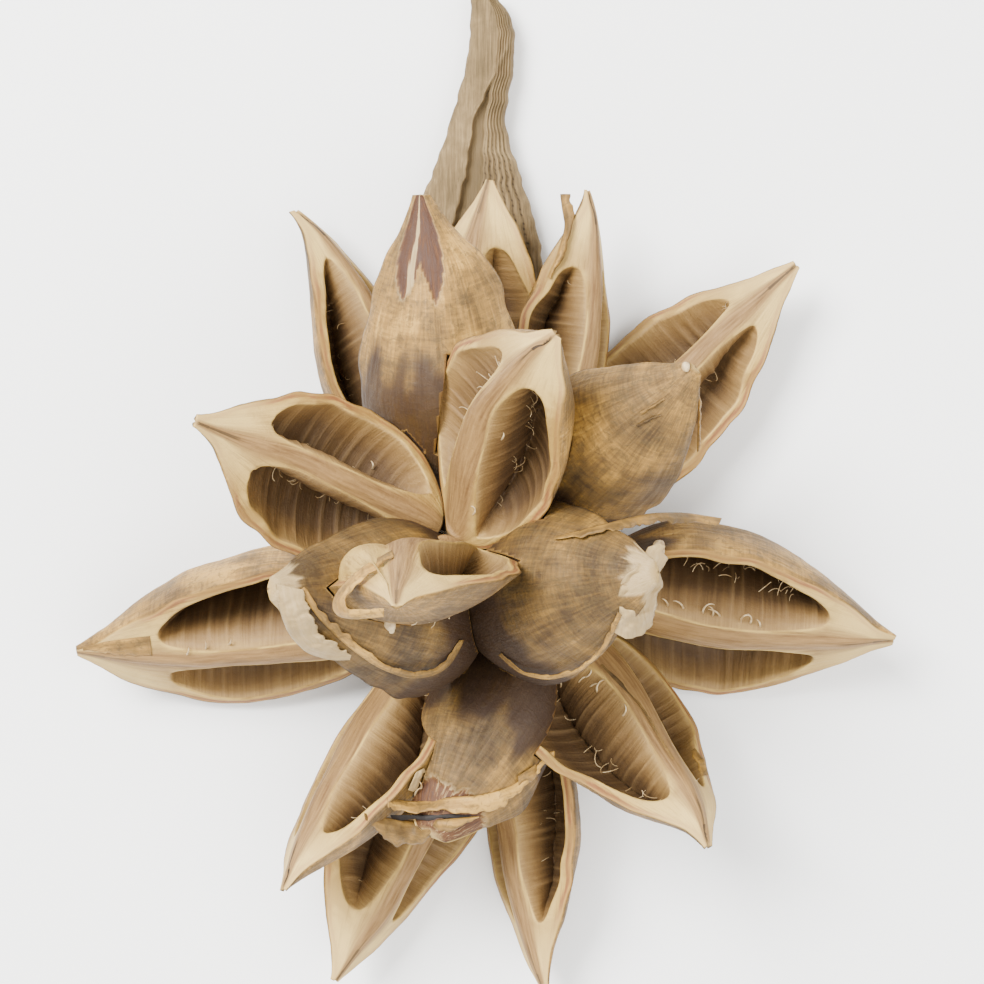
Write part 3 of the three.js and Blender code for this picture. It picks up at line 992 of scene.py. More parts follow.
class FibreTree(ShapeTree):
    """Stands short curled fibres on a patch of faces."""

    COUNT = "Per Square Metre"
    SEED = "Seed"
    LENGTH = "Length"

    def __init__(self) -> None:
        """Build the tree once, for every patch."""
        super().__init__("Loose fibres", {self.COUNT: 9000.0, self.SEED: 1, self.LENGTH: 0.003})
        w = Wiring(self.tree)
        source = w.node("NodeGroupInput").outputs
        scatter = w.node("GeometryNodeDistributePointsOnFaces",
                         {"Mesh": source["Geometry"], "Density": source[self.COUNT],
                          "Seed": source[self.SEED]})
        strand = w.node("GeometryNodeCurvePrimitiveBezierSegment",
                        {"Resolution": 5, "Start": (0, 0, -0.15), "Start Handle": (0.05, 0, 0.5),
                         "End Handle": (0.3, 0.1, 1.0), "End": (0.8, 0.15, 0.9)})
        ring = w.node("GeometryNodeCurvePrimitiveCircle", {"Resolution": 4, "Radius": 0.035})
        fibre = w.node("GeometryNodeCurveToMesh", {"Curve": strand.outputs[0], "Fill Caps": True,
                                                   "Profile Curve": ring.outputs[0]})
        spin = w.node("FunctionNodeRandomValue", {0: (-0.5, -0.5, 0.0), 1: (0.5, 0.5, 6.28),
                                                  "Seed": source[self.SEED]}, data_type="FLOAT_VECTOR")
        facing = w.node("FunctionNodeRotateRotation", {0: scatter.outputs["Rotation"],
                                                       1: spin.outputs[0]}, rotation_space="LOCAL")
        size = w.node("FunctionNodeRandomValue", {2: 0.5, 3: 1.3, "Seed": source[self.SEED]},
                      data_type="FLOAT")
        scale = w.sum("MULTIPLY", size.outputs[1], source[self.LENGTH])
        spread = w.node("GeometryNodeInstanceOnPoints",
                        {"Points": scatter.outputs["Points"], "Instance": fibre.outputs[0],
                         "Rotation": facing.outputs[0], "Scale": scale})
        self.close(w, spread.outputs[0], source[self.FINISH])


@dataclass
class Valve:
    """One boat-shaped third of a split capsule."""

    spec: ValveSpec
    seed: int
    rings: int = 150
    skin_steps: int = 52
    rim_steps: int = 7
    pit_steps: int = 24
    lip_steps: int = 4
    ridge_steps: int = 9
    belly_at: float = 0.4
    base_fullness: float = 0.62
    chamber_from: float = 0.07
    squareness: float = 2.4
    start: float = 0.005
    stop: float = 0.998
    crowding: float = 0.03
    rim_wobble: float = 0.7
    full_depth: float = 9.5
    notch: float = 4.5
    crest_height: float = 0.9
    least_width: float = 0.14
    end_power: float = 6.0
    patch_pitch: float = 13
    fine_pitch: float = 4
    shell_wall: float = 2.6
    septum_half_wall: float = 1.3
    ridge_lip: float = 0.5
    rib_pitch: float = 3.6
    blank_rings: int = 96
    blank_steps: int = 34
    # Painted shade: how far the faces cut where valves meet are darkened
    cut_painted_shade: float = -3.0

    def swelling(self, u: np.ndarray) -> np.ndarray:
        """Share of the full radius at each place along the length."""
        wave = np.sin(math.pi * np.power(u, math.log(0.5) / math.log(self.belly_at)))
        return np.power(np.clip(wave, 0, 1), self.base_fullness + (self.spec.beak - self.base_fullness) * u)

    def axes(self) -> Axes:
        """Find the valve's own frame.

        Returns:
            Base, length, and the along, across, back and side directions.
        """
        base = np.array(self.spec.base, float)
        span = np.array(self.spec.tip, float) - base
        length = float(np.linalg.norm(span))
        along = span / length
        side = np.cross(along, UP)
        side = side / np.linalg.norm(side)
        down = -(UP - along * along[2])
        down = down / np.linalg.norm(down)
        turn = math.radians(self.spec.turn)
        back = down * math.cos(turn) + side * math.sin(turn)
        across = np.cross(along, back)
        return base, length, along, across, back, side

    def _septum(self, r: np.ndarray) -> np.ndarray:
        """Angle that the wall between the two chambers takes at a radius."""
        return np.arcsin(np.clip(self.septum_half_wall / r, 0, 0.9))

    def _chamber(self, share: np.ndarray, lip: np.ndarray, rim: np.ndarray, wall: np.ndarray, half: float,
                 side: np.ndarray, keel: np.ndarray,
                 thickness: np.ndarray) -> tuple[np.ndarray, np.ndarray]:
        """Trace one chamber's wall from the ridge's lip round to the rim.

        Args:
            share: 0 at the lip and 1 at the rim.
            lip: radius of the lip.
            rim: radius of the rim's inner edge.
            wall: radius of the chamber's floor.
            half: half of the valve's opening angle.
            side: radius of the skin at the rim.
            keel: radius of the skin at the middle of the back.
            thickness: wood kept between chamber and skin.

        Returns:
            The x and y of the wall in the section.
        """
        t = np.clip(share / 0.5, 0, 1)
        near = lip + (wall - lip) * np.sin(t * math.pi / 2)
        opening = 1 - np.sqrt(np.clip(1 - (1 - t) ** 2, 0, 1))
        near_angle = self._septum(near) + (half - self._septum(near)) * opening
        s = np.clip((share - 0.5) / 0.5, 0, 1)
        far = wall + (rim - wall) * s
        far_angle = self._septum(wall) + (half - self._septum(wall)) * s
        first = share < 0.5
        angle = np.where(first, near_angle, far_angle)
        back = keel + (side - keel) * (angle / half) ** 2
        r = np.minimum(np.where(first, near, far), back - thickness)
        return r * np.sin(angle), r * np.cos(angle)

    def surface(self) -> Surface:
        """Lay out the whole valve.

        Returns:
            Its rings of points with the marks its finish reads.
        """
        spec = self.spec
        axes = self.axes()
        length = axes[1]
        half = math.radians(spec.half)
        share = np.linspace(0, 1, self.rings)[:, None]
        u = self.start + (self.stop - self.start) * share
        u = u - self.crowding * np.sin(2 * math.pi * share) / 2
        radius, ridge = self._sizes(u)
        ridge_at = ridge / math.sin(half)
        none = np.zeros_like(u)
        places = np.concatenate([u * length / 6, none, none + spec.turn], axis=1)
        wobble = self.rim_wobble * cloud(places, self.seed)[:, None]
        keel = radius * spec.keel
        port = radius * profile(u, spec.port)
        starboard = radius * profile(u, spec.starboard)

        angles = np.linspace(-1, 1, self.skin_steps + 1)[None, :]
        peel, bare_red = self._peeled(u, angles)
        round_radius = keel + (np.where(angles > 0, port, starboard) - keel) * angles ** 2
        skin_radius = round_radius + wobble * np.abs(angles) ** 10 - RECESS[spec.peel] * peel
        skin = self._strip(skin_radius * np.sin(angles * half), skin_radius * np.cos(angles * half),
                           skin=1, peel=peel, bare_red=bare_red, share=angles)
        right = self._face(u, half, port + wobble, keel, ridge_at, 0.0, spec.shallow)
        steps = np.linspace(1, -1, self.ridge_steps)[None, 1:-1]
        crown = self.crest_height * (1 - steps ** 2) * smooth(0.0, 3.0, ridge)
        crest = self._strip(ridge * steps, ridge / math.tan(half) - crown, rim=9, band=1)
        left = self._face(u, half, starboard + wobble, keel, ridge_at, spec.dome, 0.0)
        left = {name: value[:, ::-1] for name, value in left.items()}
        left["x"] = -left["x"]
        return self._placed(self._joined([skin, right, crest, left]), u, radius, axes)

    @staticmethod
    def _strip(x: np.ndarray, y: np.ndarray, **marks: object) -> Marks:
        """Give a strip of the section its marks.

        Args:
            x: place across the section.
            y: place towards the back.
            marks: the marks that aren't 0 on it.

        Returns:
            Its columns of values by name.
        """
        names = ("skin", "rim", "pit", "band", "peel", "bare_red", "share")
        return {"x": x, "y": y, **{name: marks.get(name, 0) + 0 * x for name in names}}

    @staticmethod
    def _joined(strips: list[Marks]) -> Marks:
        """Set strips of the section side by side."""
        return {name: np.concatenate([strip[name] for strip in strips], axis=1) for name in strips[0]}

    def _peeled(self, u: np.ndarray, angles: np.ndarray) -> tuple[np.ndarray, np.ndarray]:
        """Say where the outer skin is gone.

        Args:
            u: place along the length.
            angles: place round the back, from -1 to 1.

        Returns:
            A mask of the bare wood, and a mask of where that wood is red-brown.
        """
        spec = self.spec
        none = 0 * u + 0 * angles
        jag = cloud(np.stack([angles * 9 + none, none, none + 3.5], axis=-1), self.seed)
        fine = cloud(np.stack([angles * 31 + none, none, none + 1.5], axis=-1), self.seed)
        if spec.peel is Peel.VEES:
            teeth = 0.69 + np.minimum(0.42 * np.abs(angles + 0.48), 0.5 * np.abs(angles)) + 0.012 * fine
            teeth = teeth + 0.9 * np.clip(angles - 0.16, 0, 1) + 0.7 * np.clip(-0.62 - angles, 0, 1)
            strip = smooth(0.07, 0.03, np.abs(angles + 0.42 - 0.5 * (u - 0.69) + 0.02 * jag))
            bare = smooth(0.0, 0.012, u - teeth)
            return bare, bare * (0.7 - 0.75 * strip)
        if spec.peel is Peel.BEAK:
            edge = spec.peel_from + 0.035 * jag + 0.012 * fine
            return smooth(0.0, 0.012, u - edge), none
        if spec.peel is Peel.LIP:
            bare = smooth(0.0, 0.012, u - (0.86 + 0.03 * jag + 0.01 * fine))
            return bare, bare * 0.5
        return none, none

    def _face(self, u: np.ndarray, half: float, radius: np.ndarray, keel: np.ndarray,
              ridge_at: np.ndarray, dome: float, shallow: float) -> Marks:
        """Lay out one split face from its rim to the ridge, with its chamber.

        Args:
            u: place along the length.
            half: half of the opening angle.
            radius: the rim's radius.
            keel: radius of the skin at the middle of the back.
            ridge_at: radius of the ridge's edge.
            dome: how far a chamber that has stayed shut bulges, or 0 for an open one.
            shallow: share of the chamber's depth that is missing.

        Returns:
            The face's columns of values.
        """
        inner = ridge_at + self.ridge_lip
        thickness = self.shell_wall * (0.75 + 0.6 * u)
        wall = np.maximum(radius - thickness, inner + 0.4)
        middle = (self.chamber_from + self.spec.to) / 2
        reach = np.clip(np.abs(u - middle) / ((self.spec.to - self.chamber_from) / 2), 0, 1)
        power = np.where(u > middle, self.squareness + 0.8, self.squareness)
        width = np.maximum(self.least_width, np.power(1 - np.power(reach, power), 1 / power))
        depth = np.sqrt(np.clip(1 - np.power(reach, self.end_power), 0, 1))
        centre = (inner + wall) / 2
        lip = centre + (inner - centre) * width
        rim = centre + (wall - centre) * width
        edge = np.linspace(0, 1, self.rim_steps + 1)[None, 1:]
        edge_r = radius + (rim - radius) * edge
        pit = np.linspace(1, 0, self.pit_steps + 2)[None, 1:-1]
        deep_x, deep_y = self._chamber(pit + 0 * u, lip, rim, wall, half, radius, keel, thickness)
        chord = lip + (rim - lip) * pit
        flat_x, flat_y = chord * math.sin(half), chord * math.cos(half)
        fall = depth * smooth(0.0, 0.05, np.minimum(pit, 1 - pit) + 0.02) * (dome == 0)
        fall = fall * (1 - shallow)
        pit_x = flat_x + (deep_x - flat_x) * fall
        pit_y = flat_y + (deep_y - flat_y) * fall
        sunk = np.hypot(pit_x - flat_x, pit_y - flat_y)
        bulge = dome * np.sin(math.pi * pit) ** 0.8 * smooth(0.0, 0.3, u) * smooth(1.0, 0.7, u)
        pit_x = pit_x + bulge * math.cos(half)
        pit_y = pit_y - bulge * math.sin(half)
        last = np.linspace(0, 1, self.lip_steps)[None, :]
        last_r = lip + (ridge_at - lip) * last
        return self._joined([
            self._strip(edge_r * math.sin(half), edge_r * math.cos(half), rim=radius - edge_r, share=1),
            self._strip(pit_x, pit_y, rim=radius - rim, pit=np.clip(sunk / self.full_depth, 0, 1),
                        share=pit),
            self._strip(last_r * math.sin(half), last_r * math.cos(half), rim=radius - last_r, band=last),
        ])

    def _points(self, axes: Axes, u: np.ndarray, reach: np.ndarray, x: np.ndarray,
                y: np.ndarray) -> np.ndarray:
        """Set section points in space, with the valve's bend, its bow and the shared unevenness.

        Args:
            axes: the valve's own frame.
            u: place along the length, from 0 to 1.
            reach: the same place in millimetres.
            x: place across the section.
            y: place towards the back.

        Returns:
            The points.
        """
        base, _, along, across, back, side = axes
        hump = 4 * u * (1 - u)
        return warped(base + (reach + 0 * x)[..., None] * along + x[..., None] * across
                      + (y - self.spec.arch * hump)[..., None] * back
                      + (self.spec.bend * hump + 0 * x)[..., None] * side)

    def _sizes(self, u: np.ndarray) -> tuple[np.ndarray, np.ndarray]:
        """Work out a section's radius and the half width of its ridge.

        Args:
            u: place along the length.

        Returns:
            The radius and the ridge's half width.
        """
        spec = self.spec
        radius = spec.radius * self.swelling(u) + spec.blunt * smooth(0.0, 0.03, u) + 0.05
        crest = spec.ridge[0] + (spec.ridge[1] - spec.ridge[0]) * smooth(0.3, 0.65, u)
        return radius, np.minimum(crest * np.power(1 - np.power(u, 4), 0.8), 0.45 * radius) + 0.15

    def blank(self, grow: float) -> Surface:
        """Lay out the valve's plain body, without chambers and swollen all round.

        Args:
            grow: how much it is swollen.

        Returns:
            Its rings of points, marked as skin fully darkened with painted shade, which the faces it cuts
            wear.
        """
        spec = self.spec
        axes = self.axes()
        half = math.radians(spec.half)
        shift = grow / math.sin(half)
        share = np.linspace(0, 1, self.blank_rings)[:, None]
        u = self.start + (self.stop - self.start) * share
        radius, ridge = self._sizes(u)
        angles = np.linspace(-1, 1, self.blank_steps + 1)[None, :]
        side_radius = np.where(angles > 0, radius * profile(u, spec.port),
                               radius * profile(u, spec.starboard))
        keel = radius * spec.keel
        skin = keel + (side_radius - keel) * angles ** 2 + grow + shift
        x = np.concatenate([skin * np.sin(angles * half), ridge, -ridge], axis=1)
        y = np.concatenate([skin * np.cos(angles * half), ridge / math.tan(half), ridge / math.tan(half)],
                           axis=1)
        reach = u * axes[1] + grow * (2 * share - 1)
        points = self._points(axes, u, reach, x, y - shift)
        names = ("rim", "pit", "band", "peel", "bare_red", "along", "slit_shadow", "rib", "beak")
        marks = {name: 0 * x for name in names}
        # Painted shade: full stain and a very low tone make the cut faces between valves near black
        marks.update({"skin": 1 + 0 * x, "stain_and_shade": 1 + 0 * x, "tone": self.cut_painted_shade + 0 * x,
                      "grain": points * 0.3, "weft": points * 0.3})
        return Surface(points, marks)

    def _placed(self, grid: Marks, u: np.ndarray, radius: np.ndarray, axes: Axes) -> Surface:
        """Set the sections in space and work out the marks that follow from their place.

        Args:
            grid: the section values.
            u: place along the length.
            radius: the section's radius.
            axes: the valve's own frame.

        Returns:
            The finished surface.
        """
        spec = self.spec
        length = axes[1]
        x, y = grid["x"], grid["y"]
        narrow = np.clip(1 - np.abs(x) / (0.3 * radius), 0, 1)
        notch = spec.fork * self.notch * smooth(0.9, 1.0, u) * narrow
        reach = u * length - notch
        points = self._points(axes, u, reach, x, y)
        scale = 1 / (radius / spec.radius + 0.06)
        grain = np.stack([x * scale, y * scale, reach * 0.09], axis=-1)
        weft = np.stack([reach * 1.5, grid["share"] * 2.4, np.sign(x) * 7 + 0 * x], axis=-1)
        torn = cloud(np.stack([x * 0.25, y * 0.25, reach * 0.06], axis=-1), self.seed + 7)
        # Darker towards the base: real staining together with painted shade where the valves crowd at the
        # axis; the patch blotches below are real
        stain_and_shade = smooth(spec.stain_and_shade + 0.05, spec.stain_and_shade - 0.05, u + 0.1 * torn)
        patch = cloud(points / self.patch_pitch, self.seed + 9)
        patch = patch + 0.25 * cloud(points / self.fine_pitch, self.seed + 11)
        stain_and_shade = np.maximum(stain_and_shade, 0.5 * smooth(0.1, 0.6, patch) * grid["skin"])
        # Painted shadow: a black line down the middle of the ridge near a forked tip, where the slit is
        slit_shadow = (np.abs(x) < 0.28) * (grid["skin"] < 0.5) * smooth(0.8, 0.86, u) * (0.5 + 0.5 * spec.fork)
        marks = {key: grid[key] for key in ("skin", "rim", "pit", "band", "peel", "bare_red")}
        marks.update({
            "along": reach + 0 * x, "grain": grain, "weft": weft, "stain_and_shade": stain_and_shade + 0 * x,
            "slit_shadow": slit_shadow + 0 * x, "tone": spec.tone + 0 * x, "beak": smooth(0.66, 0.9, u) + 0 * x,
        })
        return Surface(points, marks)

    def build(self, relief: ReliefTree, trimmer: "Trimmer", finish: bpy.types.Material) -> bpy.types.Object:
        """Make the valve.

        Args:
            relief: the tree that raises ribs and grain.
            trimmer: cuts it clear of the valves made before it.
            finish: the husk material.

        Returns:
            The valve's object.
        """
        thing = MeshMaker.lofted(f"valve_{self.spec.name}", self.surface())
        relief.run(thing, {relief.PITCH: self.rib_pitch, relief.FINISH: finish})
        trimmer.cut(thing)
        trimmer.keep(self, finish)
        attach(thing, "root")
        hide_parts(self.spec.name)
        LOG.info("%s: %d faces", thing.name, len(thing.data.polygons))
        return thing


@dataclass
class Trimmer:
    """Cuts each piece clear of the valves that keep their shape, and of the floor."""

    gap: float = 0.45
    floor_half: float = 200.0
    floor_depth: float = 60.0
    cutters: list[bpy.types.Object] = field(default_factory=list)

    def keep(self, valve: Valve, finish: bpy.types.Material) -> None:
        """Remember a valve's body, so that later pieces give way to it.

        Args:
            valve: the valve that keeps its shape.
            finish: the material the cut faces wear.
        """
        cutter = MeshMaker.lofted(f"cutter_{valve.spec.name}", valve.blank(self.gap))
        cutter.data.materials.append(finish)
        self.cutters.append(cutter)

    def add_floor(self, finish: bpy.types.Material) -> None:
        """Add the block that fills the space under the floor.

        Args:
            finish: the material the cut faces wear.
        """
        ring = self.floor_half * np.array([[-1, -1], [1, -1], [1, 1], [-1, 1]], float)
        points = np.stack([np.concatenate([ring, np.full((4, 1), level)], axis=1)
                           for level in (-self.floor_depth, 0.0)])
        block = MeshMaker.lofted("cutter_floor", Surface(points, {"skin": np.ones((2, 4))}))
        block.data.materials.append(finish)
        self.cutters.append(block)

    def cut(self, thing: bpy.types.Object) -> None:
        """Take from a piece whatever the kept bodies and the floor fill.

        Args:
            thing: the piece, as a plain mesh.
        """
        low, high = self._box(thing)
        for cutter in self.cutters:
            cutter_low, cutter_high = self._box(cutter)
            if np.all(low < cutter_high) and np.all(high > cutter_low):
                step = thing.modifiers.new(cutter.name, "BOOLEAN")
                step.operation = "DIFFERENCE"
                step.solver = "MANIFOLD"
                step.object = cutter
        if thing.modifiers:
            MeshMaker.settled(thing)
            self._largest(thing.data)

    def clear(self) -> None:
        """Take the cutters out of the scene."""
        for cutter in self.cutters:
            bpy.data.objects.remove(cutter)
        self.cutters.clear()

    @staticmethod
    def _box(thing: bpy.types.Object) -> tuple[np.ndarray, np.ndarray]:
        """Find the lowest and highest corner of an object's mesh."""
        places = coordinates(thing.data)
        return places.min(axis=0), places.max(axis=0)

    @staticmethod
    def _largest(mesh: bpy.types.Mesh) -> None:
        """Drop the crumbs a cut leaves and keep the largest connected body.

        Args:
            mesh: the cut mesh.
        """
        count = len(mesh.vertices)
        pairs = np.empty(len(mesh.edges) * 2, np.int32)
        mesh.edges.foreach_get("vertices", pairs)
        one, two = pairs.reshape(-1, 2).T
        label = np.arange(count)
        while True:
            lowest = np.minimum(label[one], label[two])
            fresh = label.copy()
            np.minimum.at(fresh, one, lowest)
            np.minimum.at(fresh, two, lowest)
            fresh = fresh[fresh]
            if np.array_equal(fresh, label):
                break
            label = fresh
        names, sizes = np.unique(label, return_counts=True)
        if len(names) < 2:
            return
        crumbs = np.flatnonzero(label != names[np.argmax(sizes)])
        work = bmesh.new()
        work.from_mesh(mesh)
        work.verts.ensure_lookup_table()
        bmesh.ops.delete(work, geom=[work.verts[int(index)] for index in crumbs], context="VERTS")
        work.to_mesh(mesh)
        work.free()


class Torn(Enum):
    """What a scrap laid on a valve is made of."""

    SKIN = "skin"
    BARE = "bare"
    # A thin black sheet laid where there is only shadow: painted shadow, not a material
    DARK = "dark"


class Seen:
    """Finds where the camera's lines of sight meet the head."""

    def __init__(self, things: list[bpy.types.Object]) -> None:
        """Collect the pieces' faces.

        Args:
            things: the pieces that can be met.
        """
        verts: list[tuple[float, float, float]] = []
        faces: list[list[int]] = []
        for thing in things:
            start = len(verts)
            verts += [tuple(vertex.co) for vertex in thing.data.vertices]
            faces += [[index + start for index in face.vertices] for face in thing.data.polygons]
        self.tree = BVHTree.FromPolygons(verts, faces)
        self.eye = Vector((-MIDDLE[0], -MIDDLE[1], VIEW_HEIGHT)) * MILLIMETRE

    def sight(self, px: float, py: float) -> Vector:
        """Give the direction of one line of sight.

        Args:
            px: pixels from the picture's left edge.
            py: pixels from its top edge.

        Returns:
            A direction of length one.
        """
        middle = VIEW_PIXELS / 2
        return Vector(((px - middle) * PIXEL, (middle - py) * PIXEL,
                       PIXEL_LEVEL - VIEW_HEIGHT)).normalized()

    def depth(self, px: float, py: float) -> float | None:
        """Measure how far away the head is along one line of sight.

        Args:
            px: pixels from the picture's left edge.
            py: pixels from its top edge.

        Returns:
            The distance in metres, or nothing where the line misses.
        """
        met = self.tree.ray_cast(self.eye, self.sight(px, py))
        return met[3] if met[0] is not None else None

    def spot(self, px: float, py: float, lift: float) -> np.ndarray:
        """Find one place over the head.

        Args:
            px: pixels from the picture's left edge.
            py: pixels from its top edge.
            lift: height above what lies there, in millimetres.

        Returns:
            The place, in metres.
        """
        return self.traced(((px, py, lift), (px + 0.1, py, lift)), 8)[0]

    def traced(self, marks: tuple[Spot, ...], steps: int, others: tuple[Spot, ...] = ()) -> np.ndarray:
        """Lay a smooth line over the head, nowhere steeper than one in one.

        Args:
            marks: picture x, picture y and height above the surface in millimetres.
            steps: how many points to make.
            others: marks of the line that shares a sheet with this one.

        Returns:
            The points, in metres.
        """
        known = [(px, py, self.depth(px, py)) for px, py, _ in (*marks, *others)]
        known = [mark for mark in known if mark[2] is not None]
        depths = [min(depth + math.hypot(px - x, py - y) * PIXEL * MILLIMETRE for x, y, depth in known)
                  for px, py, _ in marks]
        places = np.array([self.eye + self.sight(px, py) * (depth - lift * MILLIMETRE)
                           for (px, py, lift), depth in zip(marks, depths)])
        run = np.concatenate([[0], np.cumsum(np.linalg.norm(np.diff(places, axis=0), axis=1))])
        at = np.linspace(0, run[-1], steps)
        line = np.stack([np.interp(at, run, places[:, axis]) for axis in range(3)], axis=-1)
        reach = max(1, steps // 14)
        padded = np.pad(line, ((reach, reach), (0, 0)), mode="reflect", reflect_type="odd")
        kernel = np.ones(2 * reach + 1) / (2 * reach + 1)
        return np.stack([np.convolve(padded[:, axis], kernel, mode="valid") for axis in range(3)], axis=-1)


@dataclass
class Scrap:
    """A thin torn sheet between two lines laid over the head.

    Each spot of a line is a place in the picture, in pixels, and a height above what lies there, in
    millimetres.
    """

    name: str
    one: tuple[Spot, ...]
    two: tuple[Spot, ...]
    torn: Torn = Torn.SKIN
    curl: float = 0.8
    wrinkle: float = 0.4
    ragged: float = 0.5
    thickness: float = 0.45
    # Lightens and darkens the sheet's skin: its own tone together with painted light and shade
    tone: float = 0.0
    along_steps: int = 90
    across_steps: int = 22
    tear_pitch: float = 2.4
    wrinkle_pitch: float = 3.1
    fine_pitch: float = 1.3
    shadow_share: float = 0.3

    def build(self, seen: Seen, finish: bpy.types.Material, seed: int) -> bpy.types.Object:
        """Make the sheet.

        Args:
            seen: finds the surface under it.
            finish: the husk material.
            seed: fixed number for its tears and wrinkles.

        Returns:
            The sheet's object.
        """
        one = seen.traced(self.one, self.along_steps, self.two)[:, None, :] / MILLIMETRE
        two = seen.traced(self.two, self.along_steps, self.one)[:, None, :] / MILLIMETRE
        t = np.linspace(0, 1, self.along_steps)[:, None]
        s = np.linspace(0, 1, self.across_steps)[None, :]
        width = np.linalg.norm(two - one, axis=-1)
        run = t * float(np.sum(np.linalg.norm(np.diff(one[:, 0], axis=0), axis=1)))
        tear = cloud(np.concatenate([run / self.tear_pitch, 0 * t, 0 * t], axis=1), seed)[:, None]
        tear = tear + 0.5 * cloud(np.concatenate([run, 0 * t, 0 * t], axis=1), seed + 1)[:, None]
        share = s * (1 + np.minimum(self.ragged / np.maximum(width, 0.4), 0.3) * tear)
        middle = one + (two - one) * share[..., None]
        bulge = self.curl * 4 * s * (1 - s) * np.sin(math.pi * np.clip(t, 0.02, 0.98)) ** 0.5
        rough = (self.wrinkle * cloud(middle / self.wrinkle_pitch, seed + 2)
                 + 0.4 * self.wrinkle * cloud(middle / self.fine_pitch, seed + 3))
        lift = bulge + rough * np.minimum(1, 6 * np.minimum(t, 1 - t))
        # Painted shadow sheets are thinner than skin scraps
        thick = self.shadow_share * self.thickness if self.torn is Torn.DARK else self.thickness
        rounded = np.sqrt(np.clip(1 - (2 * s - 1) ** 6, 0.02, 1))
        half = 0.5 * thick * rounded * (0.15 + 0.85 * np.sin(math.pi * t))
        top = middle + (lift + half)[..., None] * UP
        under = middle + (lift - half)[..., None] * UP
        points = np.concatenate([top, under[:, ::-1][:, 1:-1]], axis=1)
        if np.cross(one[-1, 0] - one[0, 0], two[0, 0] - one[0, 0])[2] > 0:
            points = points[:, ::-1]
        across = s + 0 * t
        marks = self._marks(points, np.concatenate([across, across[:, ::-1][:, 1:-1]], axis=1), t, width)
        thing = MeshMaker.lofted(f"scrap_{self.name}", Surface(points + MIDDLE, marks))
        thing.data.materials.append(finish)
        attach(thing, "root")
        LOG.info("%s: %d faces", thing.name, len(thing.data.polygons))
        return thing

    def _marks(self, points: np.ndarray, s: np.ndarray, t: np.ndarray, width: np.ndarray) -> Marks:
        """Work out the values that the husk finish reads.

        Args:
            points: the sheet's points.
            s: place across the sheet.
            t: place along it.
            width: its width at each place along.

        Returns:
            The marks by name.
        """
        none = 0 * points[..., 0]
        # Painted shadow sheets take the near-black slit colour instead of skin
        skin = 0.0 if self.torn is Torn.DARK else 1.0
        peel = 1.0 if self.torn is Torn.BARE else 0.0
        length = float(np.sum(np.linalg.norm(np.diff(points[:, 0], axis=0), axis=1)))
        grain = np.stack([s * width * 0.8 + none, none, t * length * 0.09 + none], axis=-1)
        return {"skin": skin + none, "peel": peel + none, "bare_red": none - 0.15, "tone": self.tone + none,
                "stain_and_shade": none, "rim": 9 + none, "pit": none, "band": none, "slit_shadow": 1 - skin + none,
                "rib": none, "along": t * length + none, "grain": grain, "weft": grain}


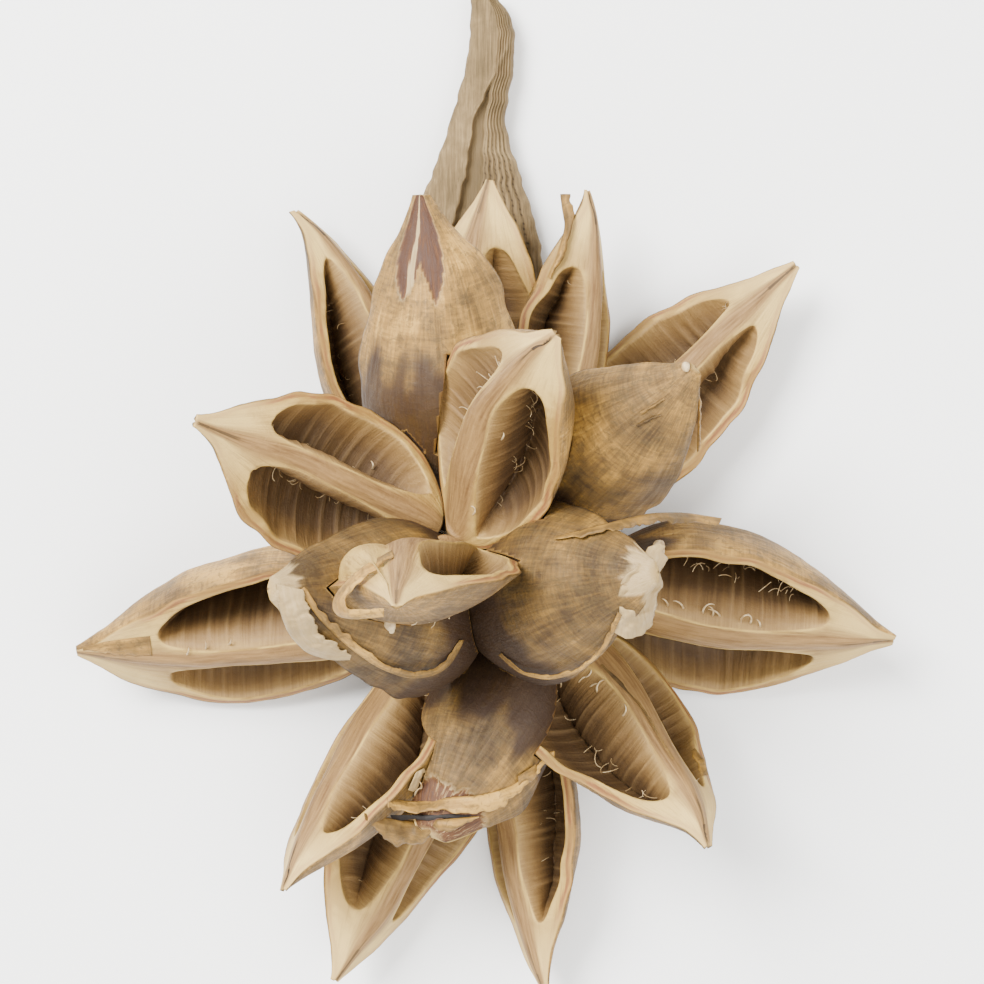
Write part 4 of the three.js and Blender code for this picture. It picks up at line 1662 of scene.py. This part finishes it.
SCRAPS = (
    Scrap("right_strip", ((554, 537, 1.0), (603, 524, 1.5), (648, 513, 2.0), (683, 512, 2.2),
                          (722, 518, 2.0)),
          ((554, 541, 1.5), (603, 532, 2.5), (648, 524, 2.8), (692, 521, 2.6), (719, 525, 2.4)),
          wrinkle=0.5, ragged=0.8),
    Scrap("upper_flap", ((560, 194, 2.0), (562, 210, 2.0), (565, 226, 1.5), (558, 252, 1.0),
                         (548, 277, 0.6)),
          ((569, 194, 3.0), (576, 210, 3.0), (573, 223, 2.0), (563, 258, 1.5), (551, 279, 0.8)),
          curl=1.2),
    Scrap("lip", ((387, 797, 0.4), (414, 802, 0.5), (448, 797, 0.5), (483, 795, 0.5), (513, 786, 0.5),
                  (534, 769, 0.5), (549, 752, 0.4)),
          ((388, 808, 2.2), (400, 814, 2.6), (424, 813, 2.6), (452, 811, 2.4), (479, 815, 2.4),
           (503, 809, 2.4), (520, 791, 2.4), (541, 772, 2.0), (556, 751, 1.6)),
          tone=1.6, ragged=0.9, wrinkle=0.6),
    # Painted shadow: a black sliver in the crevice under the lip
    Scrap("lip_gap", ((390, 815, 0.5), (424, 815, 0.5), (452, 814, 0.5), (474, 816, 0.5)),
          ((392, 819, 0.5), (424, 820, 0.5), (452, 819, 0.5), (474, 819, 0.5)),
          torn=Torn.DARK, curl=0.1, wrinkle=0.1),
    Scrap("lip_under", ((364, 813, 0.8), (390, 818, 0.8), (414, 821, 0.8), (442, 819, 0.8),
                        (479, 816, 0.8)),
          ((365, 820, 1.5), (376, 832, 1.5), (392, 845, 1.5), (407, 847, 1.5), (431, 839, 1.5),
           (455, 828, 1.5), (479, 818, 1.2)),
          tone=0.5, wrinkle=0.5, ragged=0.7, curl=1.4),
    Scrap("lip_brown", ((518, 776, 1.0), (527, 770, 1.0), (536, 764, 1.0)),
          ((519, 790, 1.6), (530, 783, 1.6), (538, 773, 1.6)),
          tone=-0.6, wrinkle=0.3),
    Scrap("left_beak", ((276, 584, 0.8), (279, 610, 1.0), (289, 636, 1.2), (307, 654, 1.2),
                        (331, 661, 1.2), (350, 660, 1.0)),
          ((300, 589, 1.8), (307, 610, 2.2), (318, 630, 2.2), (336, 645, 2.0), (352, 653, 1.2)),
          torn=Torn.BARE, wrinkle=0.9, ragged=0.8, curl=1.5),
    Scrap("left_rim", ((300, 590, 1.4), (312, 612, 1.4), (340, 641, 1.4), (375, 667, 1.4), (409, 680, 1.2),
                       (440, 675, 1.0), (458, 658, 0.8), (464, 640, 0.6)),
          ((304, 587, 1.8), (318, 608, 1.8), (346, 634, 1.8), (378, 660, 1.8), (409, 673, 1.6),
           (436, 669, 1.4), (452, 655, 1.0), (459, 640, 0.6)),
          tone=0.9, curl=0.5, wrinkle=0.3, ragged=0.5),
    Scrap("curl", ((392, 550, 0.6), (364, 565, 2.5), (341, 585, 3.5), (330, 603, 3.5), (334, 616, 3.5),
                   (352, 620, 3.0), (384, 617, 1.5)),
          ((394, 557, 0.6), (371, 573, 3.5), (352, 590, 4.5), (343, 603, 4.5), (347, 609, 4.5),
           (358, 610, 4.0), (384, 608, 1.5)),
          tone=1.2, curl=0.9, wrinkle=0.5, ragged=0.4),
    Scrap("right_beak", ((648, 547, 0.6), (637, 567, 0.8), (622, 577, 0.8), (618, 596, 0.8),
                         (620, 613, 0.8), (613, 632, 0.6)),
          ((660, 543, 3.0), (668, 554, 3.5), (661, 567, 3.0), (662, 584, 3.0), (659, 612, 2.6),
           (646, 632, 2.2), (624, 638, 1.4)),
          torn=Torn.BARE, wrinkle=1.3, ragged=1.0, curl=1.6),
    Scrap("right_rim", ((622, 615, 0.8), (606, 650, 0.8), (580, 673, 0.8), (548, 681, 0.8),
                        (518, 674, 0.8), (498, 655, 0.6)),
          ((618, 612, 1.2), (602, 647, 1.2), (577, 669, 1.2), (548, 677, 1.2), (520, 671, 1.2),
           (501, 653, 0.8)),
          tone=0.7, curl=0.5, wrinkle=0.3, ragged=0.5),
    Scrap("side_scrap", ((695, 748, 0.5), (705, 760, 0.5), (709, 775, 0.5)),
          ((690, 751, 1.0), (697, 765, 1.0), (702, 776, 1.0)),
          tone=0.9),
    Scrap("low_line", ((600, 665, 0.3), (640, 706, 0.3), (672, 760, 0.3)),
          ((603, 664, 0.3), (643, 705, 0.3), (674, 759, 0.3)),
          tone=-0.7, curl=0.2, wrinkle=0.1, ragged=0.5),
    Scrap("top_fold", ((697, 375, 0.3), (698, 410, 0.4), (697, 452, 0.3)),
          ((700, 375, 0.3), (701, 410, 0.4), (700, 452, 0.3)),
          curl=0.7, wrinkle=0.2, tone=0.5),
    Scrap("scratch_one", ((640, 412, 0.2), (655, 404, 0.2), (664, 398, 0.2)),
          ((641, 415, 0.2), (656, 406, 0.2), (665, 400, 0.2)),
          curl=0.4, wrinkle=0.2, tone=0.8),
    Scrap("scratch_two", ((636, 425, 0.2), (650, 418, 0.2), (661, 414, 0.2)),
          ((637, 427, 0.2), (651, 420, 0.2), (662, 416, 0.2)),
          curl=0.4, wrinkle=0.2, tone=-0.9),
    Scrap("golden_beak", ((83, 647, 0.1), (110, 641, 0.15), (150, 636, 0.15)),
          ((83, 650, 0.1), (115, 656, 0.15), (152, 656, 0.15)),
          curl=0.3, wrinkle=0.15, tone=0.9),
    Scrap("front_fray", ((408, 790, 1.0), (416, 772, 1.6), (424, 768, 1.2)),
          ((414, 792, 0.6), (420, 778, 0.8), (426, 772, 0.6)),
          torn=Torn.BARE, wrinkle=0.8, ragged=1.2),
)


@dataclass
class Hooks:
    """Pale curled fibres that stand along the ridges, and the beads at three tips.

    A hook has its place in the picture, its length, its heading and its curl. A bead has its place in
    the picture, its lift, its radius and its stretch.
    """

    hooks: tuple[tuple[float, float, float, float, float], ...] = (
        (684, 610, 3.6, 110, 70), (703, 615, 4.4, 95, -120), (712, 617, 3.0, 70, 90),
        (721, 618, 3.8, 120, 60), (741, 624, 3.8, 100, -140), (749, 625, 3.0, 60, 90),
        (578, 686, 4.6, 80, -120), (588, 690, 4.2, 60, -90), (598, 694, 4.6, 110, -110),
        (583, 678, 3.4, 20, 80), (620, 718, 3.8, 40, 80), (470, 516, 3.2, 20, 150),
        (668, 607, 2.6, 100, 60), (560, 690, 3.0, 70, 70), (760, 628, 2.4, 90, 60),
        (500, 440, 2.0, 30, 90), (372, 470, 2.2, 60, 80), (186, 655, 2.0, 40, 60), (205, 650, 2.4, 60, 60),
        (228, 645, 2.0, 30, 80), (408, 792, 3.2, 130, 90), (415, 797, 3.0, 90, -80),
        (420, 790, 2.6, 60, 90),
    )
    beads: tuple[tuple[float, float, float, float, float], ...] = (
        (686, 367, 0.5, 1.0, 1.3), (390, 624, 0.4, 1.5, 1.2), (391, 629, -0.6, 1.0, 1.2),
        (659, 548, 2.6, 1.6, 1.3),
    )
    radius: float = 0.3
    sunk: float = 0.4
    rise: float = 2.6
    steps: int = 8
    sides: int = 6

    def build(self, seen: Seen, finish: bpy.types.Material) -> bpy.types.Object:
        """Make the hooks and the beads as one object.

        Args:
            seen: finds the surface they stand on.
            finish: the fibre material.

        Returns:
            Their object.
        """
        bodies = [self._hook(seen, *hook) for hook in self.hooks]
        bodies += [self._bead(seen, *bead) for bead in self.beads]
        points, faces = gathered(bodies)
        mesh = bpy.data.meshes.new("hooks")
        mesh.from_pydata(points.tolist(), [], faces)
        mesh.materials.append(finish)
        mesh.shade_smooth()
        thing = linked("hooks", mesh)
        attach(thing, "root")
        LOG.info("%s: %d faces", thing.name, len(thing.data.polygons))
        return thing

    def _hook(self, seen: Seen, px: float, py: float, length: float, heading: float, curl: float) -> Body:
        """Make one curled fibre.

        Args:
            seen: finds the surface it stands on.
            px: picture x of its foot.
            py: picture y of its foot.
            length: its length in millimetres.
            heading: the way it leaves, in degrees from the picture's right.
            curl: how far it turns on the way, in degrees.

        Returns:
            Its points and faces.
        """
        foot = seen.spot(px, py, -self.sunk)
        share = np.linspace(0, 1, self.steps + 1)
        way = np.radians(heading + curl * share ** 1.3)
        step = length / self.steps * MILLIMETRE
        path = foot + np.stack([np.cumsum(np.cos(way)) * step, np.cumsum(np.sin(way)) * step,
                                self.rise * MILLIMETRE * np.sin(share * 2.2)], axis=-1)
        return tube(path, self.radius * (1.1 - 0.75 * share) * MILLIMETRE, self.sides, 1.0)

    @staticmethod
    def _bead(seen: Seen, px: float, py: float, lift: float, radius: float, stretch: float) -> Body:
        """Make one small rounded bead.

        Args:
            seen: finds the surface it sits on.
            px: picture x of its middle.
            py: picture y of its middle.
            lift: height of its middle above the surface, in millimetres.
            radius: its radius in millimetres.
            stretch: how much longer it is down the picture than across.

        Returns:
            Its points and faces.
        """
        middle = seen.spot(px, py, lift)
        work = bmesh.new()
        bmesh.ops.create_icosphere(work, subdivisions=3, radius=radius)
        points = np.array([vertex.co for vertex in work.verts])
        points = points * (1 + 0.12 * cloud(points / 1.1, 17)[:, None]) * np.array([1.0, stretch, 0.9])
        cells = [[vertex.index for vertex in face.verts] for face in work.faces]
        work.free()
        return middle + points * MILLIMETRE, cells


@dataclass
class Strap:
    """The folded strap-like stem: stations of y, left edge, right edge, height and thickness."""

    stations: tuple[tuple[float, float, float, float, float], ...] = (
        (128.5, -5.2, 1.6, 6.5, 4.4), (126.5, -5.4, 2.2, 6.5, 4.8), (123.8, -5.5, 4.7, 6.5, 5.2),
        (116.7, -5.8, 6.3, 6.5, 5.6), (109.2, -6.9, 5.6, 6.5, 5.6), (103.7, -8.6, 4.0, 6.5, 5.6),
        (97.2, -10.5, 3.1, 6.5, 5.6), (88.6, -13.2, 5.2, 6.5, 5.6), (80.5, -16.3, 7.9, 6.5, 5.6),
        (73.5, -19.1, 10.1, 6.5, 5.6), (64.5, -23.7, 12.7, 6.5, 5.7), (56.4, -25.1, 14.0, 6.5, 5.9),
        (46, -19.5, 13.0, 6.8, 6.2), (34, -11.5, 11.8, 9.2, 7.0), (22, -7.5, 10.8, 14.8, 8.4),
        (9, -7.5, 8.5, 21, 10),
    )
    folds: int = 7
    side_folds: int = 26
    ease: int = 4
    roll_height: float = 0.9
    channel_depth: float = 1.7
    rib_height: float = 0.32
    side_rib_height: float = 0.2
    pore_pitch: float = 1.25
    across_steps: int = 110
    along_steps: int = 260
    seed: int = 31

    def surface(self) -> Surface:
        """Lay out the strap with its rolled left edge, channel and ribs.

        Returns:
            Its rings of points with the marks its finish reads.
        """
        table = np.array(self.stations)[::-1]
        y = np.linspace(table[0, 0], table[-1, 0], self.along_steps)[:, None]
        left = np.interp(y, table[:, 0], table[:, 1])
        right = np.interp(y, table[:, 0], table[:, 2])
        level = np.interp(y, table[:, 0], table[:, 3])
        thick = np.interp(y, table[:, 0], table[:, 4])
        kernel = np.ones(2 * self.ease + 1) / (2 * self.ease + 1)
        for values in (left, right, level, thick):
            padded = np.pad(values[:, 0], self.ease, mode="edge")
            values[:, 0] = np.convolve(padded, kernel, mode="valid")
        s = np.linspace(0, 1, self.across_steps)[None, :]
        rag = cloud(np.concatenate([y / 5, 0 * y, 0 * y], axis=1), self.seed)[:, None]
        rag2 = cloud(np.concatenate([y / 2.2, 0 * y, 0 * y + 9], axis=1), self.seed)[:, None]
        right = right + 0.5 * rag + 0.3 * rag2
        left = left + 0.3 * rag2
        width = right - left
        x = left + width * s
        fold_at = np.clip(np.interp(y, [60, 97, 108, 116], [0.3, 0.42, 0.62, 0.86]), 0, 1)
        rib_at = np.clip(np.interp(y, [55, 80, 97, 116], [0.52, 0.56, 0.62, 0.62]), 0, 1)
        dome = np.sqrt(np.clip(1 - (2 * s - 1) ** 4, 0, 1))
        roll = np.exp(-(((s - fold_at) / 0.05) ** 2)) * self.roll_height * smooth(56, 70, y)
        below = smooth(0.0, 0.05, s - fold_at) * smooth(0.03, -0.04, s - rib_at)
        turns = 2 * math.pi * (s - rib_at) / (1 - rib_at + 1e-6) * self.folds
        ribs = smooth(-0.02, 0.05, s - rib_at) * np.cos(turns)
        ribs = ribs * smooth(1.02, 0.9, s)
        side_ribs = smooth(0.26, 0.16, s) * np.cos(2 * math.pi * s * self.side_folds) * smooth(78, 70, y)
        top = level + thick * (0.5 * dome) + roll - self.channel_depth * below
        top = top + self.rib_height * ribs + self.side_rib_height * side_ribs
        under = level - thick * 0.5 * dome + 0.25 * np.cos(s * 50) * dome
        along = y + 0 * s
        row = np.sin(along * 2 * math.pi / self.pore_pitch + np.floor((s - rib_at) * 40) * 1.7)
        pore_and_shade = smooth(0.45, 0.8, row) * smooth(-0.3, -0.75, ribs) * smooth(100, 86, along)
        # Painted shade in the valleys between the ribs
        groove_shade = smooth(-0.35, -0.95, ribs) * 0.55
        shade = np.clip(np.maximum(pore_and_shade, groove_shade), 0, 1)
        # Painted shade in the valleys of the side ribs, broken into speckles
        speckle = smooth(0.2, 0.8, np.sin(along * 5.0 + s * 200))
        shade = np.maximum(shade, 0.8 * smooth(0.1, 0.7, -side_ribs) * speckle)
        points_top = np.stack([x, along, top], axis=-1)
        points_under = np.stack([x, along, under], axis=-1)[:, ::-1][:, 1:-1]
        points = np.concatenate([points_top, points_under], axis=1)[:, ::-1]
        zero = 0 * points_under[..., 0]
        grain = np.stack([points[..., 0] * 1.5, points[..., 2] * 1.2, points[..., 1] * 0.08], axis=-1)
        # Painted shade mask of the sunken channel, on the top face only
        hollow = np.concatenate([below, zero], axis=1)[:, ::-1]
        marks = {"grain": grain, "hollow": hollow, "pore_and_shade": np.concatenate([shade, zero], axis=1)[:, ::-1]}
        return Surface(points, marks)

    def build(self, trimmer: Trimmer, finish: bpy.types.Material) -> bpy.types.Object:
        """Make the strap.

        Args:
            trimmer: cuts it clear of the valves.
            finish: the stem material.

        Returns:
            The strap's object.
        """
        thing = MeshMaker.lofted("stem_strap", self.surface())
        thing.data.materials.append(finish)
        trimmer.cut(thing)
        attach(thing, "root")
        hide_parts("stem")
        LOG.info("%s: %d faces", thing.name, len(thing.data.polygons))
        return thing


@dataclass
class Axis:
    """The short thick axis under the capsules with a stub for each of them."""

    line: tuple[Spot, ...] = ((0, 14, 22), (0, 2, 23), (0, -12, 25), (0, -26, 26), (0, -40, 24))
    stubs: tuple[tuple[Spot, Spot], ...] = (
        ((0, 2, 23), (-15, 2, 29)), ((0, 0, 23), (16, 1, 29)), ((0, -12, 25), (-11, -9, 60)),
        ((0, -26, 26), (-21, -36, 28)), ((0, -26, 26), (19, -29, 27)), ((0, -38, 24), (-1, -48, 24)),
    )
    radius: float = 9.5
    stub_radius: float = 7.0
    voxel: float = 1.1
    sides: int = 20

    def build(self, trimmer: Trimmer, finish: bpy.types.Material) -> bpy.types.Object:
        """Make the axis as one fused knobbly body.

        Args:
            trimmer: cuts it clear of the valves.
            finish: the stem material.

        Returns:
            The axis object.
        """
        bodies = [self._limb(self.line, self.radius, self.radius * 0.7)]
        bodies += [self._limb(line, self.stub_radius, self.stub_radius * 0.85) for line in self.stubs]
        points, faces = gathered(bodies)
        mesh = bpy.data.meshes.new("stem_axis")
        mesh.from_pydata(((points - MIDDLE) * MILLIMETRE).tolist(), [], faces)
        thing = linked("stem_axis", mesh)
        fuse = thing.modifiers.new("fuse", "REMESH")
        fuse.mode = "VOXEL"
        fuse.voxel_size = self.voxel * MILLIMETRE
        ease = thing.modifiers.new("ease", "SMOOTH")
        ease.iterations = 6
        MeshMaker.settled(thing)
        self._mark(thing.data)
        thing.data.materials.clear()
        thing.data.materials.append(finish)
        trimmer.cut(thing)
        thing.data.shade_smooth()
        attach(thing, "root")
        LOG.info("%s: %d faces", thing.name, len(thing.data.polygons))
        return thing

    @staticmethod
    def _mark(mesh: bpy.types.Mesh) -> None:
        """Roughen the fused mesh and store the marks its finish reads.

        Args:
            mesh: the fused mesh.
        """
        places = coordinates(mesh) / MILLIMETRE
        normals = coordinates(mesh, "normal")
        lift = 0.5 * cloud(places / 4, 3) + 0.25 * cloud(places / 1.6, 5)
        moved = (places + normals * lift[:, None]) * MILLIMETRE
        mesh.vertices.foreach_set("co", moved.astype(np.float32).ravel())
        grain = mesh.attributes.new("grain", "FLOAT_VECTOR", "POINT")
        grain.data.foreach_set("vector", (places * np.array([0.9, 0.2, 0.9])).astype(np.float32).ravel())
        for name in ("hollow", "pore_and_shade"):
            layer = mesh.attributes.new(name, "FLOAT", "POINT")
            layer.data.foreach_set("value", np.zeros(len(places), np.float32))

    def _limb(self, line: tuple[Spot, ...], start: float, end: float) -> Body:
        """Make one round limb of the axis.

        Args:
            line: the points it runs through.
            start: radius at the first point.
            end: radius at the last point.

        Returns:
            Its points and faces.
        """
        last = len(line) - 1
        radii = start + (end - start) * np.arange(last + 1) / last
        return tube(np.array(line, float), radii, self.sides, 0.8)


@dataclass
class Lining:
    """Loose silky fibres and small hooks that stand in the chambers."""

    valve: Valve
    foot_skipped: int = 12
    rim_skipped: int = 4
    first_ring: int = 10
    rings_skipped: int = 30
    deep_from: float = 0.25
    density: float = 26000.0
    density_for_hook: float = 6000.0
    length: float = 2.2
    length_for_hook: float = 0.08

    def build(self, tree: FibreTree, finish: bpy.types.Material) -> bpy.types.Object:
        """Grow the fibres along the foot of each chamber's inner wall.

        Args:
            tree: the tree that grows fibres on a patch.
            finish: the fibre material.

        Returns:
            The fibres' object.
        """
        surface = self.valve.surface()
        pit = surface.marks["pit"]
        points = (surface.points - MIDDLE) * MILLIMETRE
        count = points.shape[1]
        faces = []
        low = self.valve.skin_steps + self.valve.rim_steps + 1
        high = low + self.valve.pit_steps
        turned = count + self.valve.skin_steps
        sides = [range(low + self.foot_skipped, high - self.rim_skipped),
                 range(turned - high + self.rim_skipped + 1, turned - low - self.foot_skipped)]
        for row in range(self.first_ring, self.valve.rings - self.rings_skipped):
            for columns in sides:
                for k in columns:
                    if pit[row, k] > self.deep_from:
                        faces.append([row * count + k, row * count + k + 1, (row + 1) * count + k + 1,
                                      (row + 1) * count + k])
        used = sorted({index for face in faces for index in face})
        place = {index: new for new, index in enumerate(used)}
        flat = points.reshape(-1, 3)
        mesh = bpy.data.meshes.new(f"lining_{self.valve.spec.name}")
        mesh.from_pydata(flat[used].tolist(), [], [[place[index] for index in face] for face in faces])
        thing = linked(mesh.name, mesh)
        hooks = self.valve.spec.hooks
        tree.run(thing, {tree.COUNT: self.density + self.density_for_hook * hooks,
                         tree.LENGTH: (self.length + self.length_for_hook * hooks) * MILLIMETRE,
                         tree.SEED: self.valve.seed, tree.FINISH: finish})
        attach(thing, "root")
        LOG.info("%s: %d faces", thing.name, len(thing.data.polygons))
        return thing


@dataclass
class Studio:
    """Pale floor, soft lights and the camera that looks straight down."""

    floor_size: float = 6.0
    floor_colour: str = "FAFAF8"
    air: tuple[float, float, float, float] = (1.0, 0.99, 0.97, 1.0)
    air_strength: float = 0.8
    lamps: tuple[tuple[str, Spot, float, float], ...] = (
        ("key", (-0.55, 0.5, 1.1), 0.6, 58.0), ("fill", (0.7, -0.15, 1.1), 1.2, 20.0),
        ("front", (0.0, -0.6, 1.1), 1.0, 14.0),
    )

    def build(self) -> None:
        """Set up the floor, the lights, the surroundings and the camera."""
        self._floor()
        for lamp in self.lamps:
            self._lamp(*lamp)
        world = bpy.data.worlds.new("studio_air")
        world.use_nodes = True
        sky = world.node_tree.nodes["Background"]
        sky.inputs["Color"].default_value = self.air
        sky.inputs["Strength"].default_value = self.air_strength
        bpy.context.scene.world = world
        self._camera()

    def _floor(self) -> None:
        """Lay the pale floor at the height the head rests on."""
        half = self.floor_size / 2
        mesh = bpy.data.meshes.new("floor")
        mesh.from_pydata([(-half, -half, 0), (half, -half, 0), (half, half, 0), (-half, half, 0)], [],
                         [(0, 1, 2, 3)])
        thing = linked("floor", mesh)
        paint = Paint("pale_floor")
        paint.set({"Base Color": linear(self.floor_colour), "Roughness": 0.95})
        mesh.materials.append(paint.material)

    @staticmethod
    def _lamp(name: str, place: Spot, size: float, power: float) -> None:
        """Hang a soft square lamp that points at the head.

        Args:
            name: the lamp's name.
            place: where it hangs, in metres.
            size: its width, in metres.
            power: its power, in watts.
        """
        data = bpy.data.lights.new(name, "AREA")
        data.shape = "SQUARE"
        data.size = size
        data.energy = power
        thing = linked(name, data)
        thing.location = place
        aim = np.array([0.0, 0.0, 0.05]) - np.array(place)
        thing.rotation_euler = Vector(aim).to_track_quat("-Z", "Y").to_euler()

    @staticmethod
    def _camera() -> None:
        """Put the camera above the head, as far away and as narrow as the photograph's view."""
        data = bpy.data.cameras.new("camera")
        data.sensor_fit = "HORIZONTAL"
        data.lens = data.sensor_width * (VIEW_HEIGHT - PIXEL_LEVEL) / (VIEW_PIXELS * PIXEL)
        data.clip_start = 0.01
        data.clip_end = 20.0
        thing = linked("camera", data)
        thing.location = (-MIDDLE[0] * MILLIMETRE, -MIDDLE[1] * MILLIMETRE, VIEW_HEIGHT * MILLIMETRE)
        bpy.context.scene.camera = thing


def main() -> None:
    """Build the head, its finishes and the studio."""
    logging.basicConfig(level=logging.INFO, format="%(name)s: %(message)s")
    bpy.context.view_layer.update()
    Studio().build()
    streaks = Effects.streaks()
    mottling = Effects.mottling()
    husk = HuskFinish().build(streaks, mottling)
    strap = StrapFinish().build(streaks, mottling)
    fibre = FibreFinish().build(mottling)
    relief = ReliefTree()
    strands = FibreTree()
    pieces: list[bpy.types.Object] = []
    trimmer = Trimmer()
    trimmer.add_floor(husk)
    for number, spec in enumerate(VALVES):
        valve = Valve(spec, seed=VALVE_SEED + number)
        pieces.append(valve.build(relief, trimmer, husk))
        Lining(valve).build(strands, fibre)
    pieces.append(Strap().build(trimmer, strap))
    Axis().build(trimmer, strap)
    trimmer.clear()
    seen = Seen(pieces)
    for number, scrap in enumerate(SCRAPS):
        scrap.build(seen, husk, SCRAP_SEED + SCRAP_SEED_STEP * number)
    Hooks().build(seen, fibre)


if __name__ == "__main__":
    main()
